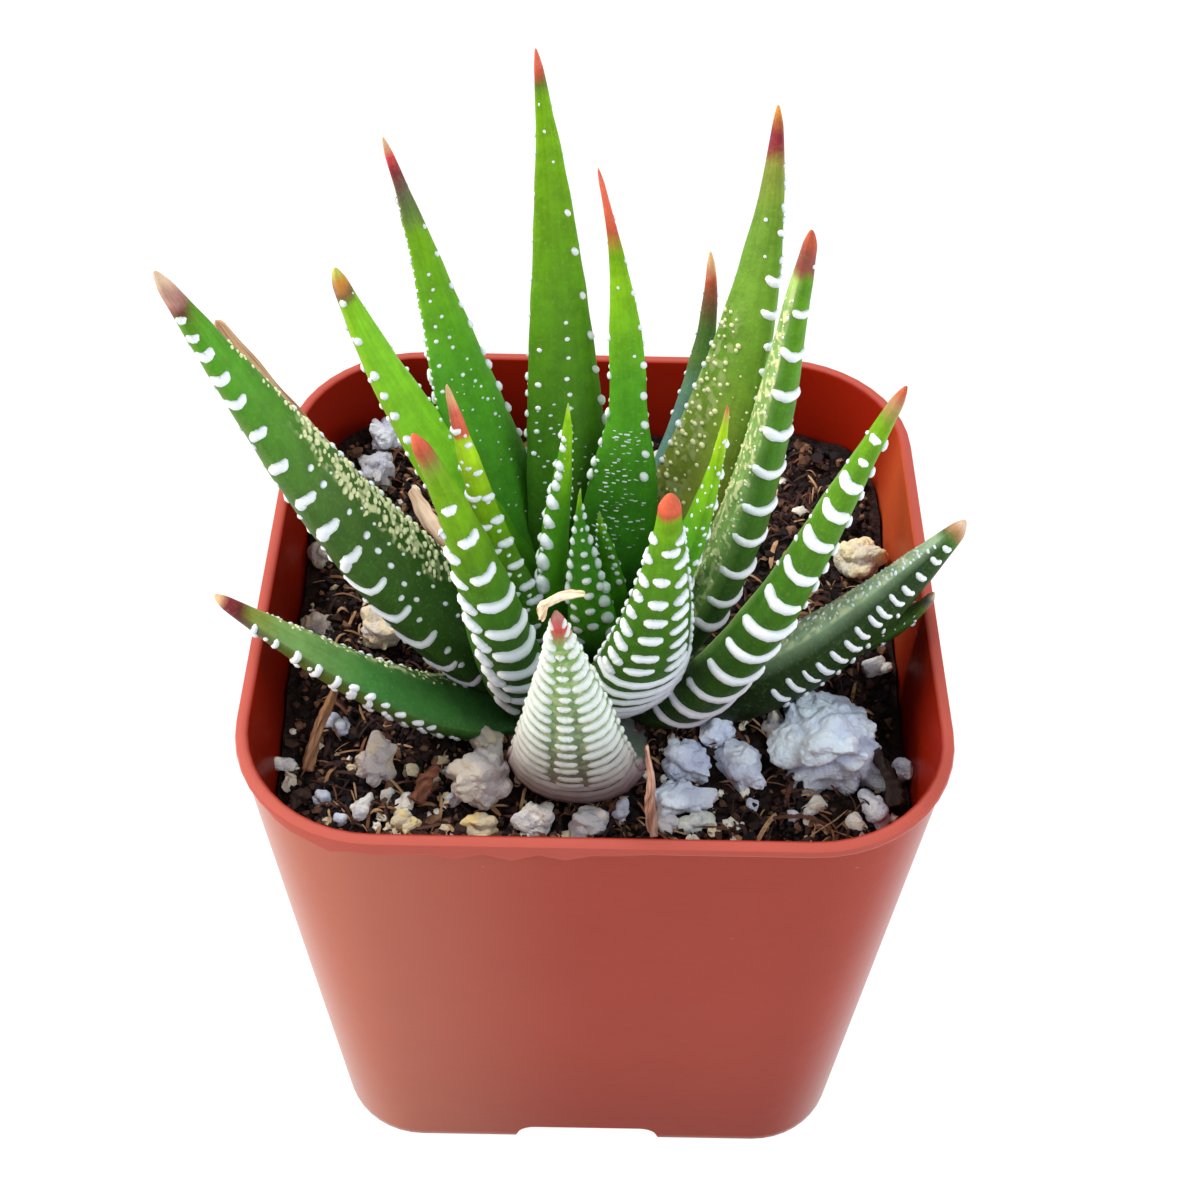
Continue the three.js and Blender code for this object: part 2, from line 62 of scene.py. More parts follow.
# The photograph's camera: where it stands, how it is turned, and how far it zooms.
CAMERA_AIM = (0.34, 20.52, 30.0)
CAMERA_DISTANCE = 190.05
CAMERA_ELEVATION = 47.78
CAMERA_AZIMUTH = -0.30
CAMERA_ROLL = 1.29
CAMERA_LENS = 55.2
SENSOR = 36.0

# The pot, as in the part's source.
POT_HEIGHT = 56.3
POT_TOP_HALF = 28.2
POT_BOTTOM_HALF = 24.2
POT_TOP_CORNER = 11.6
POT_BOTTOM_CORNER = 8.0
WALL = 0.9
SOIL_GAP = 0.3
LIP_OUT = 0.3
LIP_HIGH = 0.95
FOOT_HIGH = 2.0
FOOT_WIDE = 2.4
FLOOR_THICK = 1.3
NOTCH_HIGH = 2.5
NOTCH_TOP = 12.7
NOTCH_BASE = 15.9
NOTCH_ROUND = 1.2
DRAIN_RADIUS = 2.0
DRAIN_OFFSET = 11.0
CORNER_CUTS = 11
SIDE_CUTS = 15

SOIL_TOP = 46.4
SOIL_FOOT = 3.6
BANK_BACK = 1.6
BANK_LEFT = 2.2
BANK_RIGHT = 0.9
HEART = (-0.5, -2.0)
STEM_RADIUS = 2.0
STEM_LONG = 12.7
STEM_MIDDLE = 42.8

# Leaves, outermost first: heading, root distance and height, near bend, far bend, tip, width,
# thickness, bluntness of the tip, how drawn-out the tip is, roll.
LEAVES = {
    "leaf_01": (
        8, 3, 45.5, (11, -1, 46.5), (23.5, -2.5, 47), (27.6, -5, 59.8), 3.6, 2.4, 0.3, 1, 0),
    "leaf_02": (
        4, 3, 46.5, (13.5, -9.2, 50), (21, -4.6, 56.5), (29.8, -1.5, 64.8), 8.8, 6.2, 0.62, 1.15, 42),
    "leaf_03": (
        200, 3, 46.5, (-11, -10.5, 45.5), (-18, -12.5, 56), (-30, -10.5, 64), 6.4, 3.2, 0.4, 1, 0),
    "leaf_04": (
        67, 3, 46, (3, 3.5, 55.5), (10.3, 14.5, 63.5), (8.9, 18, 76.5), 3.8, 2.2, 0.2, 1, 0),
    "leaf_05": (
        186, 3, 46.5, (-14, -6.5, 54), (-23.5, -6.5, 77.5), (-30.9, -6, 92), 8.6, 4.6, 0.5, 1.2, 24),
    "leaf_06": (
        136, 3, 47, (-9, 0, 62.5), (-12.5, 11, 76), (-17.2, 14, 89.7), 9.4, 3.2, 0.3, 1.6, 0),
    "leaf_07": (
        50, 3, 47, (7, -1.5, 63), (13.3, 7.5, 76.5), (12.7, 12, 94.5), 8, 3.6, 0.3, 1.2, 0),
    "leaf_08": (
        -28, 3, 46.5, (10, -13, 46.5), (16.8, -12.5, 78), (20.5, -13, 89), 4.3, 3.8, 0.4, 1.15, 60),
    "leaf_09": (
        -95, 3, 46.5, (-2, -18.5, 42), (-1.5, -17.5, 62), (-3, -20, 73.5), 11.4, 4.8, 0.35, 1.3, 0),
    "leaf_10": (
        157, 2.6, 47.5, (-7.5, -1, 61), (-16, 3, 70.5), (-20.6, 6, 83.3), 6.3, 3, 0.5, 1.05, 0),
    "leaf_11": (
        100, 2.6, 47.5, (-3.3, 1.5, 64), (-3, 11.5, 81.5), (-5.4, 15, 97), 7.5, 3.2, 0.25, 1.25, 0),
    "leaf_12": (
        17, 2.6, 47.5, (12, -6, 57), (12.8, 2, 76), (14.9, 2, 90.6), 7, 3.8, 0.55, 1.2, 22),
    "leaf_13": (
        222, 2.6, 47.5, (-8.6, -8.5, 46), (-6.6, -13, 68.5), (-13.1, -13, 83.8), 4.9, 4.6, 0.5, 1.15, -50),
    "leaf_14": (
        88, 2.2, 48.5, (2.5, -0.5, 64), (3.5, 4.5, 76), (-0.6, 9, 90.7), 7.2, 2.8, 0.2, 1.8, 0),
    "leaf_15": (
        235, 2.2, 49, (-8, -3, 59), (-9, -4.5, 69.5), (-11.5, -4, 80.5), 3, 2.4, 0.2, 1, 0),
    "leaf_16": (
        -70, 2.2, 48, (3.5, -12, 53.5), (5.2, -13.5, 67.5), (4.9, -14, 79.4), 8.2, 3.6, 0.8, 1.6, 0),
    "leaf_17": (
        8, 2.2, 48.5, (3.8, -7.5, 55.5), (8.7, -4, 67), (9.3, -5, 79.8), 6.2, 2.6, 0.2, 1.6, 0),
    "leaf_18": (
        150, 1.5, 49.5, (-5.2, -4, 58), (-2.2, -2.5, 67), (-2.5, -3, 78), 3.8, 2.4, 0.08, 1.1, 0),
    "leaf_19": (
        -90, 1.2, 50, (0.5, -7, 56.5), (-2, -4, 62.5), (-1.5, -5, 71), 4.6, 2.4, 0.08, 1.6, 0),
    "leaf_20": (
        80, 1, 50, (3, -3, 54), (0, -1.5, 61), (0, -2, 65.5), 2.8, 1.8, 0.08, 1.1, 0),
}
UPPER_SHARE = 0.3
CLASP = 0.25
CLASP_DROP = 0.2
THICK_POWER = 0.8
TIP_THICK = 1.6
TIP_CLOSE = 0.03
UPPER_CREST = 1.2
LOWER_CREST = 0.9
LEAF_RINGS = 120
LEAF_SIDES = 48

# Leaves with a waist: where it is, how long and how deep, in shares.
WAISTS = {"leaf_14": (0.55, 0.1, 0.3)}

# The plant's colours, by name. Night and shade also stand for painted shade.
PALETTE = {
    "night": "#16250f", "shade": "#26401a", "pine": "#1d3f28", "deep": "#33591c", "grass": "#457a1c",
    "fern": "#4c7030", "fresh": "#5c9318", "lime": "#74a90e", "bright": "#88c118", "acid": "#b0dc24",
    "pale": "#aecf74", "soft": "#86ad62", "sage": "#7b9772", "mist": "#a8c49e", "jade": "#3f8024",
    "leaf": "#438a22", "forest": "#417a38", "vivid": "#58a422", "meadow": "#6f9c30", "spring": "#8cd42a",
    "rust": "#8e4a40", "petal": "#7c6266", "frost": "#d6dfda", "sea": "#55807a", "olive": "#5d6a2c",
    "moss": "#87913a", "straw": "#b9b552", "slate": "#6a6b6c", "dusk": "#66604c", "maroon": "#6a2a2c",
    "plum": "#8a2c38", "rose": "#d64248", "coral": "#e8705e", "brick": "#bb553c", "amber": "#e29436",
    "peach": "#f4c294", "beige": "#d6b69c", "tan": "#b5835f", "blush": "#b27a75", "brown": "#77563f",
    "ember": "#e0664a", "cream": "#ecebba", "lilac": "#b9afc2", "snow": "#e9f1f8",
}
# Where along a leaf its eight colours stand, from the foot to the point: the first three, and the rest
# for each leaf whose point differs.
TONE_FOOT = (0.1, 0.35, 0.6)
TONE_POINT = (0.82, 0.905, 0.935, 0.965, 0.99)
TONE_POINTS = {
    "leaf_02": (0.86, 0.925, 0.945, 0.965, 0.985),
    "leaf_04": (0.74, 0.82, 0.875, 0.93, 0.985),
    "leaf_05": (0.885, 0.925, 0.936, 0.955, 0.985),
    "leaf_08": (0.86, 0.93, 0.95, 0.972, 0.99),
    "leaf_09": (0.86, 0.905, 0.93, 0.955, 0.985),
    "leaf_10": (0.86, 0.925, 0.945, 0.968, 0.99),
    "leaf_11": (0.88, 0.93, 0.95, 0.966, 0.985),
    "leaf_12": (0.85, 0.918, 0.928, 0.96, 0.985),
    "leaf_14": (0.8, 0.84, 0.88, 0.93, 0.985),
    "leaf_15": (0.8, 0.845, 0.86, 0.93, 0.985),
    "leaf_16": (0.86, 0.94, 0.952, 0.968, 0.985),
}
# Each leaf's colours from the foot to the point: on the back, then on the upper face if it differs.
# The darker colours near the foot and on the backs are partly the leaves' own green and partly painted
# shade, where the leaves lie under one another.
TONES = {
    "leaf_01": (
        "night shade shade deep fern olive slate beige",
        "night shade deep fern fern olive slate beige"),
    "leaf_02": (
        "night night shade shade deep fern tan beige",
        "pine sage mist mist mist fern tan beige"),
    "leaf_03": (
        "pine deep olive olive dusk maroon plum peach",
        "pine forest forest soft moss maroon plum peach"),
    "leaf_04": ("sea sea sea fern fern brown brick peach",),
    "leaf_05": (
        "shade shade fern fresh fresh maroon blush beige",
        "shade deep fern vivid fresh maroon blush beige"),
    "leaf_06": ("deep leaf vivid lime dusk plum rose peach",),
    "leaf_07": (
        "grass grass meadow fresh moss plum plum amber",
        "olive moss meadow meadow moss plum plum amber"),
    "leaf_08": (
        "night deep grass fresh lime moss tan brick",
        "shade soft soft soft lime moss tan brick"),
    "leaf_09": (
        "petal petal sage soft soft tan rose blush",
        "slate sage sage soft soft tan rose blush"),
    "leaf_10": (
        "deep leaf lime bright bright brown tan straw",
        "deep vivid spring spring bright brown amber straw"),
    "leaf_11": ("deep grass fresh lime lime olive brick coral",),
    "leaf_12": (
        "shade deep grass fresh fresh rust rust brick",
        "soft soft soft soft pale rust rust brick"),
    "leaf_13": (
        "shade deep grass lime lime moss brick ember",
        "deep leaf grass lime lime moss maroon ember"),
    "leaf_14": ("jade leaf vivid bright lime brick ember coral",),
    "leaf_15": ("deep grass lime acid acid ember coral peach",),
    "leaf_16": (
        "night deep grass fresh lime brick ember ember",
        "shade deep grass fresh lime brick ember ember"),
    "leaf_17": ("leaf leaf vivid bright acid acid straw coral",),
    "leaf_18": (
        "leaf vivid vivid vivid bright bright bright pale",
        "leaf vivid vivid bright bright bright acid pale"),
    "leaf_19": ("forest vivid leaf leaf vivid bright bright pale",),
    "leaf_20": ("vivid vivid vivid vivid bright bright pale mist",),
}
# Skin with whitish patches: angles from and to, shares of the length from and to, strength.
GRAIN = {
    "leaf_02": [(5, 130, 0.15, 0.92, 0.8)],
    "leaf_03": [(10, 70, 0.25, 0.9, 0.9)],
    "leaf_05": [(8, 90, 0.3, 0.72, 1.3)],
    "leaf_07": [(85, 175, 0.2, 0.7, 0.4)],
    "leaf_09": [(180, 360, 0.2, 0.95, 0.4)],
    "leaf_12": [(0, 120, 0.15, 0.92, 1.1)],
}

# Raised bars across the skin. Each row: first angle, last angle, slope (millimetres that the last end
# stands nearer the tip), how far the first and the last end turn up to the tip, half width, and where
# the bars stand, in thousandths of the leaf's length. Angles: 0 and 180 are the margins, 270 the back.
BARS = {
    "leaf_01": [(150, 215, 0, 0.2, 0.2, 0.26, (900, 830, 770, 700, 640, 570))],
    "leaf_02": [
        (344, 308, 0, 0.1, 0.4, 0.28, (925, 887, 838, 794, 755, 719, 688, 650)),
        (334, 300, 0.2, 0.1, 0.4, 0.3, (612, 574, 536, 498, 460, 424)),
        (200, 250, 0, 0.2, 0.2, 0.34, (860, 790, 720, 650, 590, 530, 470, 410)),
    ],
    "leaf_03": [
        (232, 176, 0.1, 0.1, 0.3, 0.26, (884, 828)),
        (236, 170, 0.1, 0.1, 0.45, 0.32, (770, 712, 664)),
        (236, 182, 0.4, 0.1, 0.4, 0.32, (612, 566)),
        (240, 205, 1.4, 0.1, 0.1, 0.32, (495, 450, 405, 360, 315)),
    ],
    "leaf_05": [
        (200, 134, 0, 0.4, 0.2, 0.36, (926, 899)),
        (204, 124, -0.2, 0.4, 0.5, 0.44, (866, 828, 789)),
        (196, 132, -0.6, -0.9, 0.6, 0.5, (736, 676)),
        (192, 128, -0.8, -1.4, 0.5, 0.5, (610, 553, 492)),
        (200, 130, -0.6, 1.6, 0.3, 0.44, (424, 354, 288)),
        (204, 146, -0.4, 1.6, 0.2, 0.4, (224, 168)),
    ],
    "leaf_07": [
        (52, -26, 0, 0.4, 0.5, 0.38, (735, 686)),
        (24, -24, 0, 0.2, 0.4, 0.4, (640, 598, 556, 512)),
    ],
    "leaf_08": [
        (330, 262, 0, 0.3, 0.1, 0.36, (908,)),
        (322, 268, 0, 0.2, 0.1, 0.36, (866,)),
        (346, 236, 0, 0.7, 0.2, 0.56, (818, 760, 697, 628, 560)),
        (346, 216, 0.9, 0.1, 1.3, 0.56, (492, 426, 362)),
        (346, 214, 1.8, 0, 1.8, 0.52, (298, 232, 176)),
    ],
    "leaf_09": [
        (236, 190, 0.5, 0, 0.2, 0.26, (962, 934)),
        (304, 350, 0.7, 0, 0.2, 0.26, (955, 927)),
        (252, 188, 0.7, 0, 0.3, 0.46, tuple(range(905, 400, -33))),
        (288, 354, 1.0, 0, 0.3, 0.46, tuple(range(898, 400, -33))),
        (258, 283, 0, 0.2, 0.2, 0.38, tuple(range(868, 400, -33))),
        (186, 354, 0, 1.1, 1.2, 0.5, tuple(range(392, 120, -34))),
    ],
    "leaf_12": [
        (358, 290, 0, 0.5, 0.2, 0.34, (856,)),
        (367, 276, 0, 0.8, 0.2, 0.44, (778, 706, 635, 562, 494, 428, 362, 300, 244)),
        (262, 196, 0, 0.1, 0.3, 0.4, (856, 778, 706, 635, 562, 494, 428, 362, 300, 244)),
    ],
    "leaf_13": [
        (285, 228, 0, 0.3, 0.3, 0.44, (842,)),
        (275, 206, 0, 0.4, 0.5, 0.54, (760, 662)),
        (279, 172, -1.8, 0.2, 0.9, 0.58, (574,)),
        (277, 172, -2.6, 0.2, 1.0, 0.58, (488, 412)),
        (280, 190, -2.8, 0.1, 0.6, 0.54, (348, 292, 236)),
        (339, 312, -0.4, 0, 0, 0.44, (776,)),
        (338, 286, -0.7, 0.2, 0, 0.52, (724, 654)),
        (326, 284, -1.5, 0, 0, 0.54, (588, 537)),
        (312, 283, -1.9, 0, 0, 0.54, (478, 424)),
        (303, 274, -2.8, 0, 0, 0.52, (364, 296, 236)),
    ],
    "leaf_15": [
        (222, 178, -0.3, 0.1, 0.1, 0.32, (828, 744)),
        (224, 150, -0.6, 0.1, 0.2, 0.42, (662, 585, 506, 425, 345, 288)),
    ],
    "leaf_16": [
        (308, 240, 0, 0.1, 0.3, 0.42, (852,)),
        (316, 270, 0, 0.1, 0.1, 0.46, (770, 702, 640, 578, 514, 458)),
        (266, 205, 0.3, 0, 0.4, 0.42, (880, 815)),
        (262, 222, 0.5, 0, 0.3, 0.46, (758, 703, 655, 602, 550, 500, 455)),
        (372, 326, -0.1, 0.4, 0, 0.42, (880, 818)),
        (355, 324, -0.5, 0.2, 0, 0.46, (756, 704, 648)),
        (354, 322, -1.0, 0.1, 0, 0.46, (592, 540, 488, 440)),
        (362, 190, 0, 1.0, 1.0, 0.46, (398, 350, 304, 258, 214, 170)),
    ],
}
# Single beads. Each row: the angle of the first and of the last, half width of the first and of the
# last, how much longer than wide they are, which way they point (0 across, 90 along the leaf), and
# where they stand, in thousandths of the leaf's length.
BEADS = {
    "leaf_01": [(20, 60, 0.16, 0.16, 1, 0, tuple(range(900, 600, -40)))],
    "leaf_02": [
        (292, 286, 0.2, 0.28, 1.6, 30, (738, 690, 640, 592, 548, 505, 462, 420)),
        (2, 86, 0.12, 0.16, 1.6, 30, tuple(range(910, 420, -22))),
        (150, 168, 0.16, 0.2, 1.2, 0, tuple(range(900, 420, -26))),
    ],
    "leaf_03": [
        (174, 190, 0.28, 0.32, 1.4, 60, (628, 585, 540, 494, 450, 410)),
        (20, 18, 0.2, 0.3, 1.2, 60, (840, 806, 770, 745, 712, 690, 655, 630, 600, 570, 535, 505, 470)),
    ],
    "leaf_04": [(165, 165, 0.2, 0.24, 1, 0, (900, 850, 800, 750, 700, 650, 600))],
    "leaf_05": [
        (108, 106, 0.24, 0.32, 1.1, 0, (640, 605, 540, 494)),
        (110, 122, 0.24, 0.26, 1.3, 60, (458, 425, 388, 350)),
        (132, 150, 0.26, 0.3, 1.2, 20, (375, 325, 290, 250, 210)),
        (84, 98, 0.14, 0.2, 1.3, 60, tuple(range(600, 250, -38))),
        (20, 20, 0.26, 0.3, 1.2, 60, (700, 668, 640, 610, 586, 560, 536, 510, 486, 460, 436, 410)),
    ],
    "leaf_06": [
        (195, 201, 0.2, 0.26, 1.1, 60, (840, 819, 794, 762, 731, 697, 662, 630)),
        (184, 190, 0.12, 0.18, 1.4, 0, tuple(range(880, 440, -17))),
        (201, 200, 0.36, 0.36, 1.7, 80, (598, 560)),
        (48, 12, 0.2, 0.32, 1.2, 60, (840, 787, 725, 690, 656, 600)),
        (10, 9, 0.38, 0.4, 1.2, 60, (575, 531, 487, 436, 390)),
        (108, 100, 0.15, 0.16, 1.1, 0, (762, 738, 688, 650, 631, 581)),
        (124, 153, 0.15, 0.16, 1.1, 0, (719, 675, 650, 613, 570)),
        (80, 62, 0.15, 0.16, 1.1, 0, (600, 562, 548, 520, 490)),
    ],
    "leaf_07": [
        (-30, -12, 0.3, 0.34, 1.5, 60, (881, 850)),
        (4, -16, 0.32, 0.36, 1.5, 20, (812, 771)),
        (84, 64, 0.16, 0.16, 1, 0, (825, 775)),
        (172, 156, 0.2, 0.36, 1.2, 0, tuple(range(720, 330, -38))),
    ],
    "leaf_08": [
        (0, 2, 0.2, 0.22, 1.1, 0, (906, 844, 781, 725, 670, 610)),
        (214, 214, 0.28, 0.34, 1.8, 80, (894, 844, 798, 742, 688, 644, 600, 555)),
    ],
    "leaf_09": [
        (184, 182, 0.22, 0.4, 1.2, 80, tuple(range(940, 160, -36))),
        (356, 358, 0.22, 0.4, 1.2, 80, tuple(range(930, 160, -36))),
    ],
    "leaf_10": [
        (180, 164, 0.34, 0.38, 1.1, 60, (931, 856, 781, 742, 694, 640, 585, 530)),
        (20, 24, 0.2, 0.2, 1.1, 0, (900, 850, 800, 744, 700, 662)),
        (50, 84, 0.2, 0.2, 1.1, 0, (620, 581, 531, 490)),
        (75, 75, 0.12, 0.12, 1, 0, (938,)),
    ],
    "leaf_11": [
        (183, 183, 0.2, 0.28, 1.2, 80, (850, 787, 719, 656, 600, 537, 500, 469, 440, 406)),
        (48, 4, 0.28, 0.36, 1.3, 60, (756, 694, 625, 556, 500, 452, 415)),
        (84, 84, 0.18, 0.24, 1.1, 0, (588, 562, 531, 494, 469, 445)),
        (132, 147, 0.22, 0.26, 1.1, 0, (544, 487, 450, 412, 375)),
        (126, 78, 0.14, 0.14, 1, 0, (919, 881, 831)),
    ],
    "leaf_12": [
        (303, 303, 0.2, 0.2, 1, 0, (936,)),
        (354, 354, 0.2, 0.2, 1.1, 0, (500,)),
        (20, 24, 0.14, 0.16, 1.1, 0, tuple(range(880, 420, -34))),
    ],
    "leaf_14": [
        (3, 50, 0.2, 0.36, 1.2, 60, (831, 769, 706, 637, 575, 519, 463, 416)),
        (105, 66, 0.14, 0.14, 1, 0, (781, 656)),
        (180, 178, 0.24, 0.34, 1.3, 70, (690, 612, 537, 475, 430, 400)),
        (160, 150, 0.14, 0.18, 1, 0, (470, 440, 415)),
    ],
    "leaf_15": [(265, 265, 0.22, 0.24, 1.1, 0, (787, 713, 644, 569, 481, 412))],
    "leaf_16": [
        (196, 194, 0.24, 0.36, 1.4, 80, tuple(range(890, 400, -34))),
        (10, 14, 0.22, 0.3, 1.3, 80, tuple(range(870, 400, -36))),
    ],
    "leaf_17": [
        (93, 70, 0.16, 0.2, 1.1, 0, (856, 800, 740, 700, 650, 610, 560)),
        (20, -20, 0.16, 0.2, 1.1, 0, (880, 820, 770, 710, 650, 600, 540)),
        (315, 282, 0.14, 0.16, 1.1, 0, tuple(range(880, 480, -30))),
        (45, 30, 0.13, 0.15, 1, 0, (738, 690, 640)),
    ],
    "leaf_18": [
        (190, 192, 0.26, 0.42, 1.15, 80, (880, 844, 787, 750, 713)),
        (192, 192, 0.56, 0.66, 1.2, 70, (652, 583, 512)),
        (192, 192, 0.66, 0.62, 1.3, 80, (432, 350)),
        (30, 26, 0.12, 0.18, 1.1, 0, (910, 880, 846, 812, 775, 738, 700, 660, 620, 580, 540)),
        (150, 140, 0.1, 0.1, 1.1, 0, (860, 815, 770, 700, 640, 560)),
    ],
    "leaf_19": [
        (318, 350, 0.24, 0.42, 1.2, 80, (850, 790, 735, 681, 623, 560, 500, 430)),
        (190, 200, 0.22, 0.46, 1.25, 80, (900, 850, 790, 731, 670, 610, 550, 490)),
        (255, 268, 0.2, 0.46, 1.25, 0, (800, 745, 681, 622, 560, 488, 410, 330)),
        (222, 224, 0.4, 0.56, 1.2, 70, (512, 440, 360, 270)),
        (316, 306, 0.3, 0.4, 1.4, 10, (420, 360, 300, 240)),
    ],
    "leaf_20": [
        (140, 155, 0.14, 0.26, 1.1, 60, (900, 856, 800, 756, 700, 640)),
        (48, 44, 0.16, 0.3, 1.2, 60, (900, 850, 800, 740, 680, 620, 560, 500)),
        (72, 62, 0.14, 0.2, 1.1, 0, (820, 750, 680, 600)),
        (93, 93, 0.4, 0.4, 1.1, 0, (356,)),
    ],
}
# Fields of fine specks: angles from and to, degrees between the rows, shares of the length from and to,
# millimetres between specks, half width, how much longer than wide.
SPECKS = {
    "leaf_02": [(20, 110, 12, 0.25, 0.88, 0.9, 0.1, 1.6)],
    "leaf_03": [(24, 70, 11, 0.3, 0.88, 1.1, 0.14, 1.2)],
    "leaf_05": [(20, 88, 9, 0.3, 0.68, 0.95, 0.24, 1.2), (24, 60, 12, 0.68, 0.86, 1.1, 0.16, 1.2)],
    "leaf_06": [(60, 140, 20, 0.25, 0.6, 1.4, 0.09, 1.2)],
    "leaf_07": [(88, 150, 12, 0.28, 0.68, 1.2, 0.21, 1.1), (24, 80, 14, 0.3, 0.6, 1.7, 0.11, 1.0)],
    "leaf_11": [(60, 150, 15, 0.22, 0.46, 1.4, 0.1, 1.5)],
    "leaf_12": [(24, 110, 14, 0.2, 0.62, 1.0, 0.14, 1.1), (20, 100, 18, 0.62, 0.88, 1.8, 0.11, 1.1)],
    "leaf_14": [(54, 132, 9, 0.26, 0.5, 0.75, 0.075, 2.4)],
}
# The bars' whites: the painted shade near the foot, the white, from where to where along the leaf one gives
# way to the other, and how far. The front leaf stands in its own shade and has its own painted shade.
WHITES = ("lilac", "snow", 0.0, 0.4, 0.92)
FRONT_LEAF = "leaf_09"
FRONT_WHITES = ("petal", "frost", 0.3, 0.6, 1.0)
# Leaves whose specks are cream, not white.
CREAM_SPECKS = ("leaf_03", "leaf_05", "leaf_07", "leaf_12")
# Leaves whose backs are turned away in the photograph: how many bars they get there, by rule.
PLAIN_BACKS = {
    "leaf_01": 8, "leaf_03": 9, "leaf_04": 10, "leaf_05": 14, "leaf_06": 14, "leaf_07": 14,
    "leaf_10": 12, "leaf_11": 15, "leaf_14": 13, "leaf_15": 10, "leaf_17": 11,
    "leaf_18": 10, "leaf_20": 7,
}

# Withered leaves and loose bits: thickness, colours, and a path with the half width at each point.
DRY = {
    "dry_leaf_back": (0.8, "#e8bd96", "#b07a56", (
        (-8.5, 0.8, 46.9, 0.9), (-13.5, 3, 53, 1.1), (-19, 3.5, 60.5, 1.1), (-25, 3.5, 70.2, 0.9),
        (-30.2, 3.5, 80.8, 0.35))),
    "dry_leaf_left": (0.8, "#efd7bd", "#c49a74", (
        (-9, 4.4, 47.3, 0.9), (-13, 8.6, 48.6, 0.9), (-15.7, 12, 49.8, 0.9), (-17.6, 15.3, 51, 0.5))),
    "dry_leaf_front": (0.6, "#ecc4ae", "#b57a62", (
        (4.8, -20.9, 47, 0.6), (4.5, -20.3, 49.5, 0.5), (4.6, -19.6, 52.5, 0.36), (4, -18.6, 56.5, 0.12))),
    "wood_splinter": (0.7, "#a87a56", "#6e4a34", (
        (-24, -15.2, 47.2, 0.6), (-23.2, -11.8, 48.7, 0.5), (-21.8, -7.8, 50.4, 0.4))),
    "dark_twig": (0.8, "#4a352c", "#2a1c18", (
        (-25, -18.8, 46.8, 0.6), (-24.3, -17.8, 47.2, 0.9), (-23.4, -17, 46.9, 0.5))),
    "bark_chip": (1.0, "#3a2b25", "#211715", (
        (24.8, -18, 47.6, 0.9), (24.4, -15.6, 48.6, 1.1), (23.2, -13.2, 49.2, 0.7))),
    "bark_flake": (0.9, "#8a543c", "#54301f", (
        (-14.6, -18.6, 48, 0.7), (-13.9, -17, 48.5, 0.8), (-12.9, -15.4, 48.7, 0.5))),
}
# The curled shred on the point of the front leaf, as a path with its half width.
SHRED = (
    (-4, -19.9, 72.2, 0.25), (-3.9, -19.9, 73.9, 0.45), (-2.4, -19.9, 74.9, 0.45), (-0.8, -19.9, 75.2, 0.2))
DRY_SLOTS = {
    "dry_leaf_back": "dried_leaf", "dry_leaf_left": "dried_leaf", "dry_leaf_front": "dried_leaf",
    "wood_splinter": "bark", "dark_twig": "bark", "bark_chip": "bark", "bark_flake": "bark",
}

# Perlite lumps: where they lie, half sizes, turn in degrees, colour.
STONES = {
    "perlite_01": ((20, -11.4), (4.8, 5.2, 4.2), 20, "#e6f2ff"),
    "perlite_02": ((15.4, -9.6), (1.1, 2, 1.4), 0, "#e6dccd"),
    "perlite_03": ((7.9, -13), (2.2, 2, 1.8), -10, "#e2eafc"),
    "perlite_04": ((10.5, -10.2), (1.6, 1.6, 1.3), 30, "#e2eafc"),
    "perlite_05": ((12.2, -13.5), (2, 2.9, 1.9), 10, "#e8effc"),
    "perlite_06": ((6.8, -17), (2.6, 1.7, 1.6), 12, "#e6eefc"),
    "perlite_07": ((8.4, -18.9), (1.3, 1.1, 1), 25, "#dde0cf"),
    "perlite_08": ((24.2, 9.3), (2.5, 2.4, 2.2), 15, "#f6e6ba"),
    "perlite_09": ((-19.1, -0.5), (1.9, 2.1, 1.6), 40, "#ead9b8"),
    "perlite_10": ((-9.3, -11.4), (1.3, 1.6, 1.3), 0, "#d2c4a6"),
    "perlite_11": ((-9.2, -15.4), (2.6, 3.4, 2.4), -20, "#e2d4c4"),
    "perlite_12": ((-4.8, -18.9), (1.8, 1.7, 1.5), 25, "#f2ece2"),
    "perlite_13": ((-15.5, -20), (1.1, 1, 0.9), 10, "#e8cf92"),
    "perlite_14": ((-9.1, -19.3), (1.6, 1.3, 1.2), -8, "#eed394"),
    "perlite_15": ((-18.1, -14.2), (1.6, 2.6, 1.8), -12, "#c9b8a4"),
    "perlite_16": ((-24.9, 8.4), (1.3, 1.3, 1.1), 0, "#dccdb6"),
    "perlite_17": ((-24.9, 0.2), (1.3, 1.4, 1.1), 15, "#d6c2aa"),
    "perlite_18": ((-20.4, 22.6), (1.6, 1.8, 1.7), 0, "#dfe2ec"),
    "perlite_19": ((-21, 19), (1.6, 2, 1.5), 20, "#c2c0c4"),
    "perlite_20": ((-0.4, -19.4), (1.9, 1.5, 1.4), 5, "#dad6d6"),
    "perlite_21": ((23.2, -17.8), (1.2, 1.7, 1.2), 30, "#e7e9f2"),
    "perlite_22": ((5.8, 21.8), (1.4, 1.5, 1.2), 30, "#c6bdb6"),
    "perlite_23": ((24.9, -2.8), (1.3, 0.8, 0.8), 10, "#f0ece4"),
}
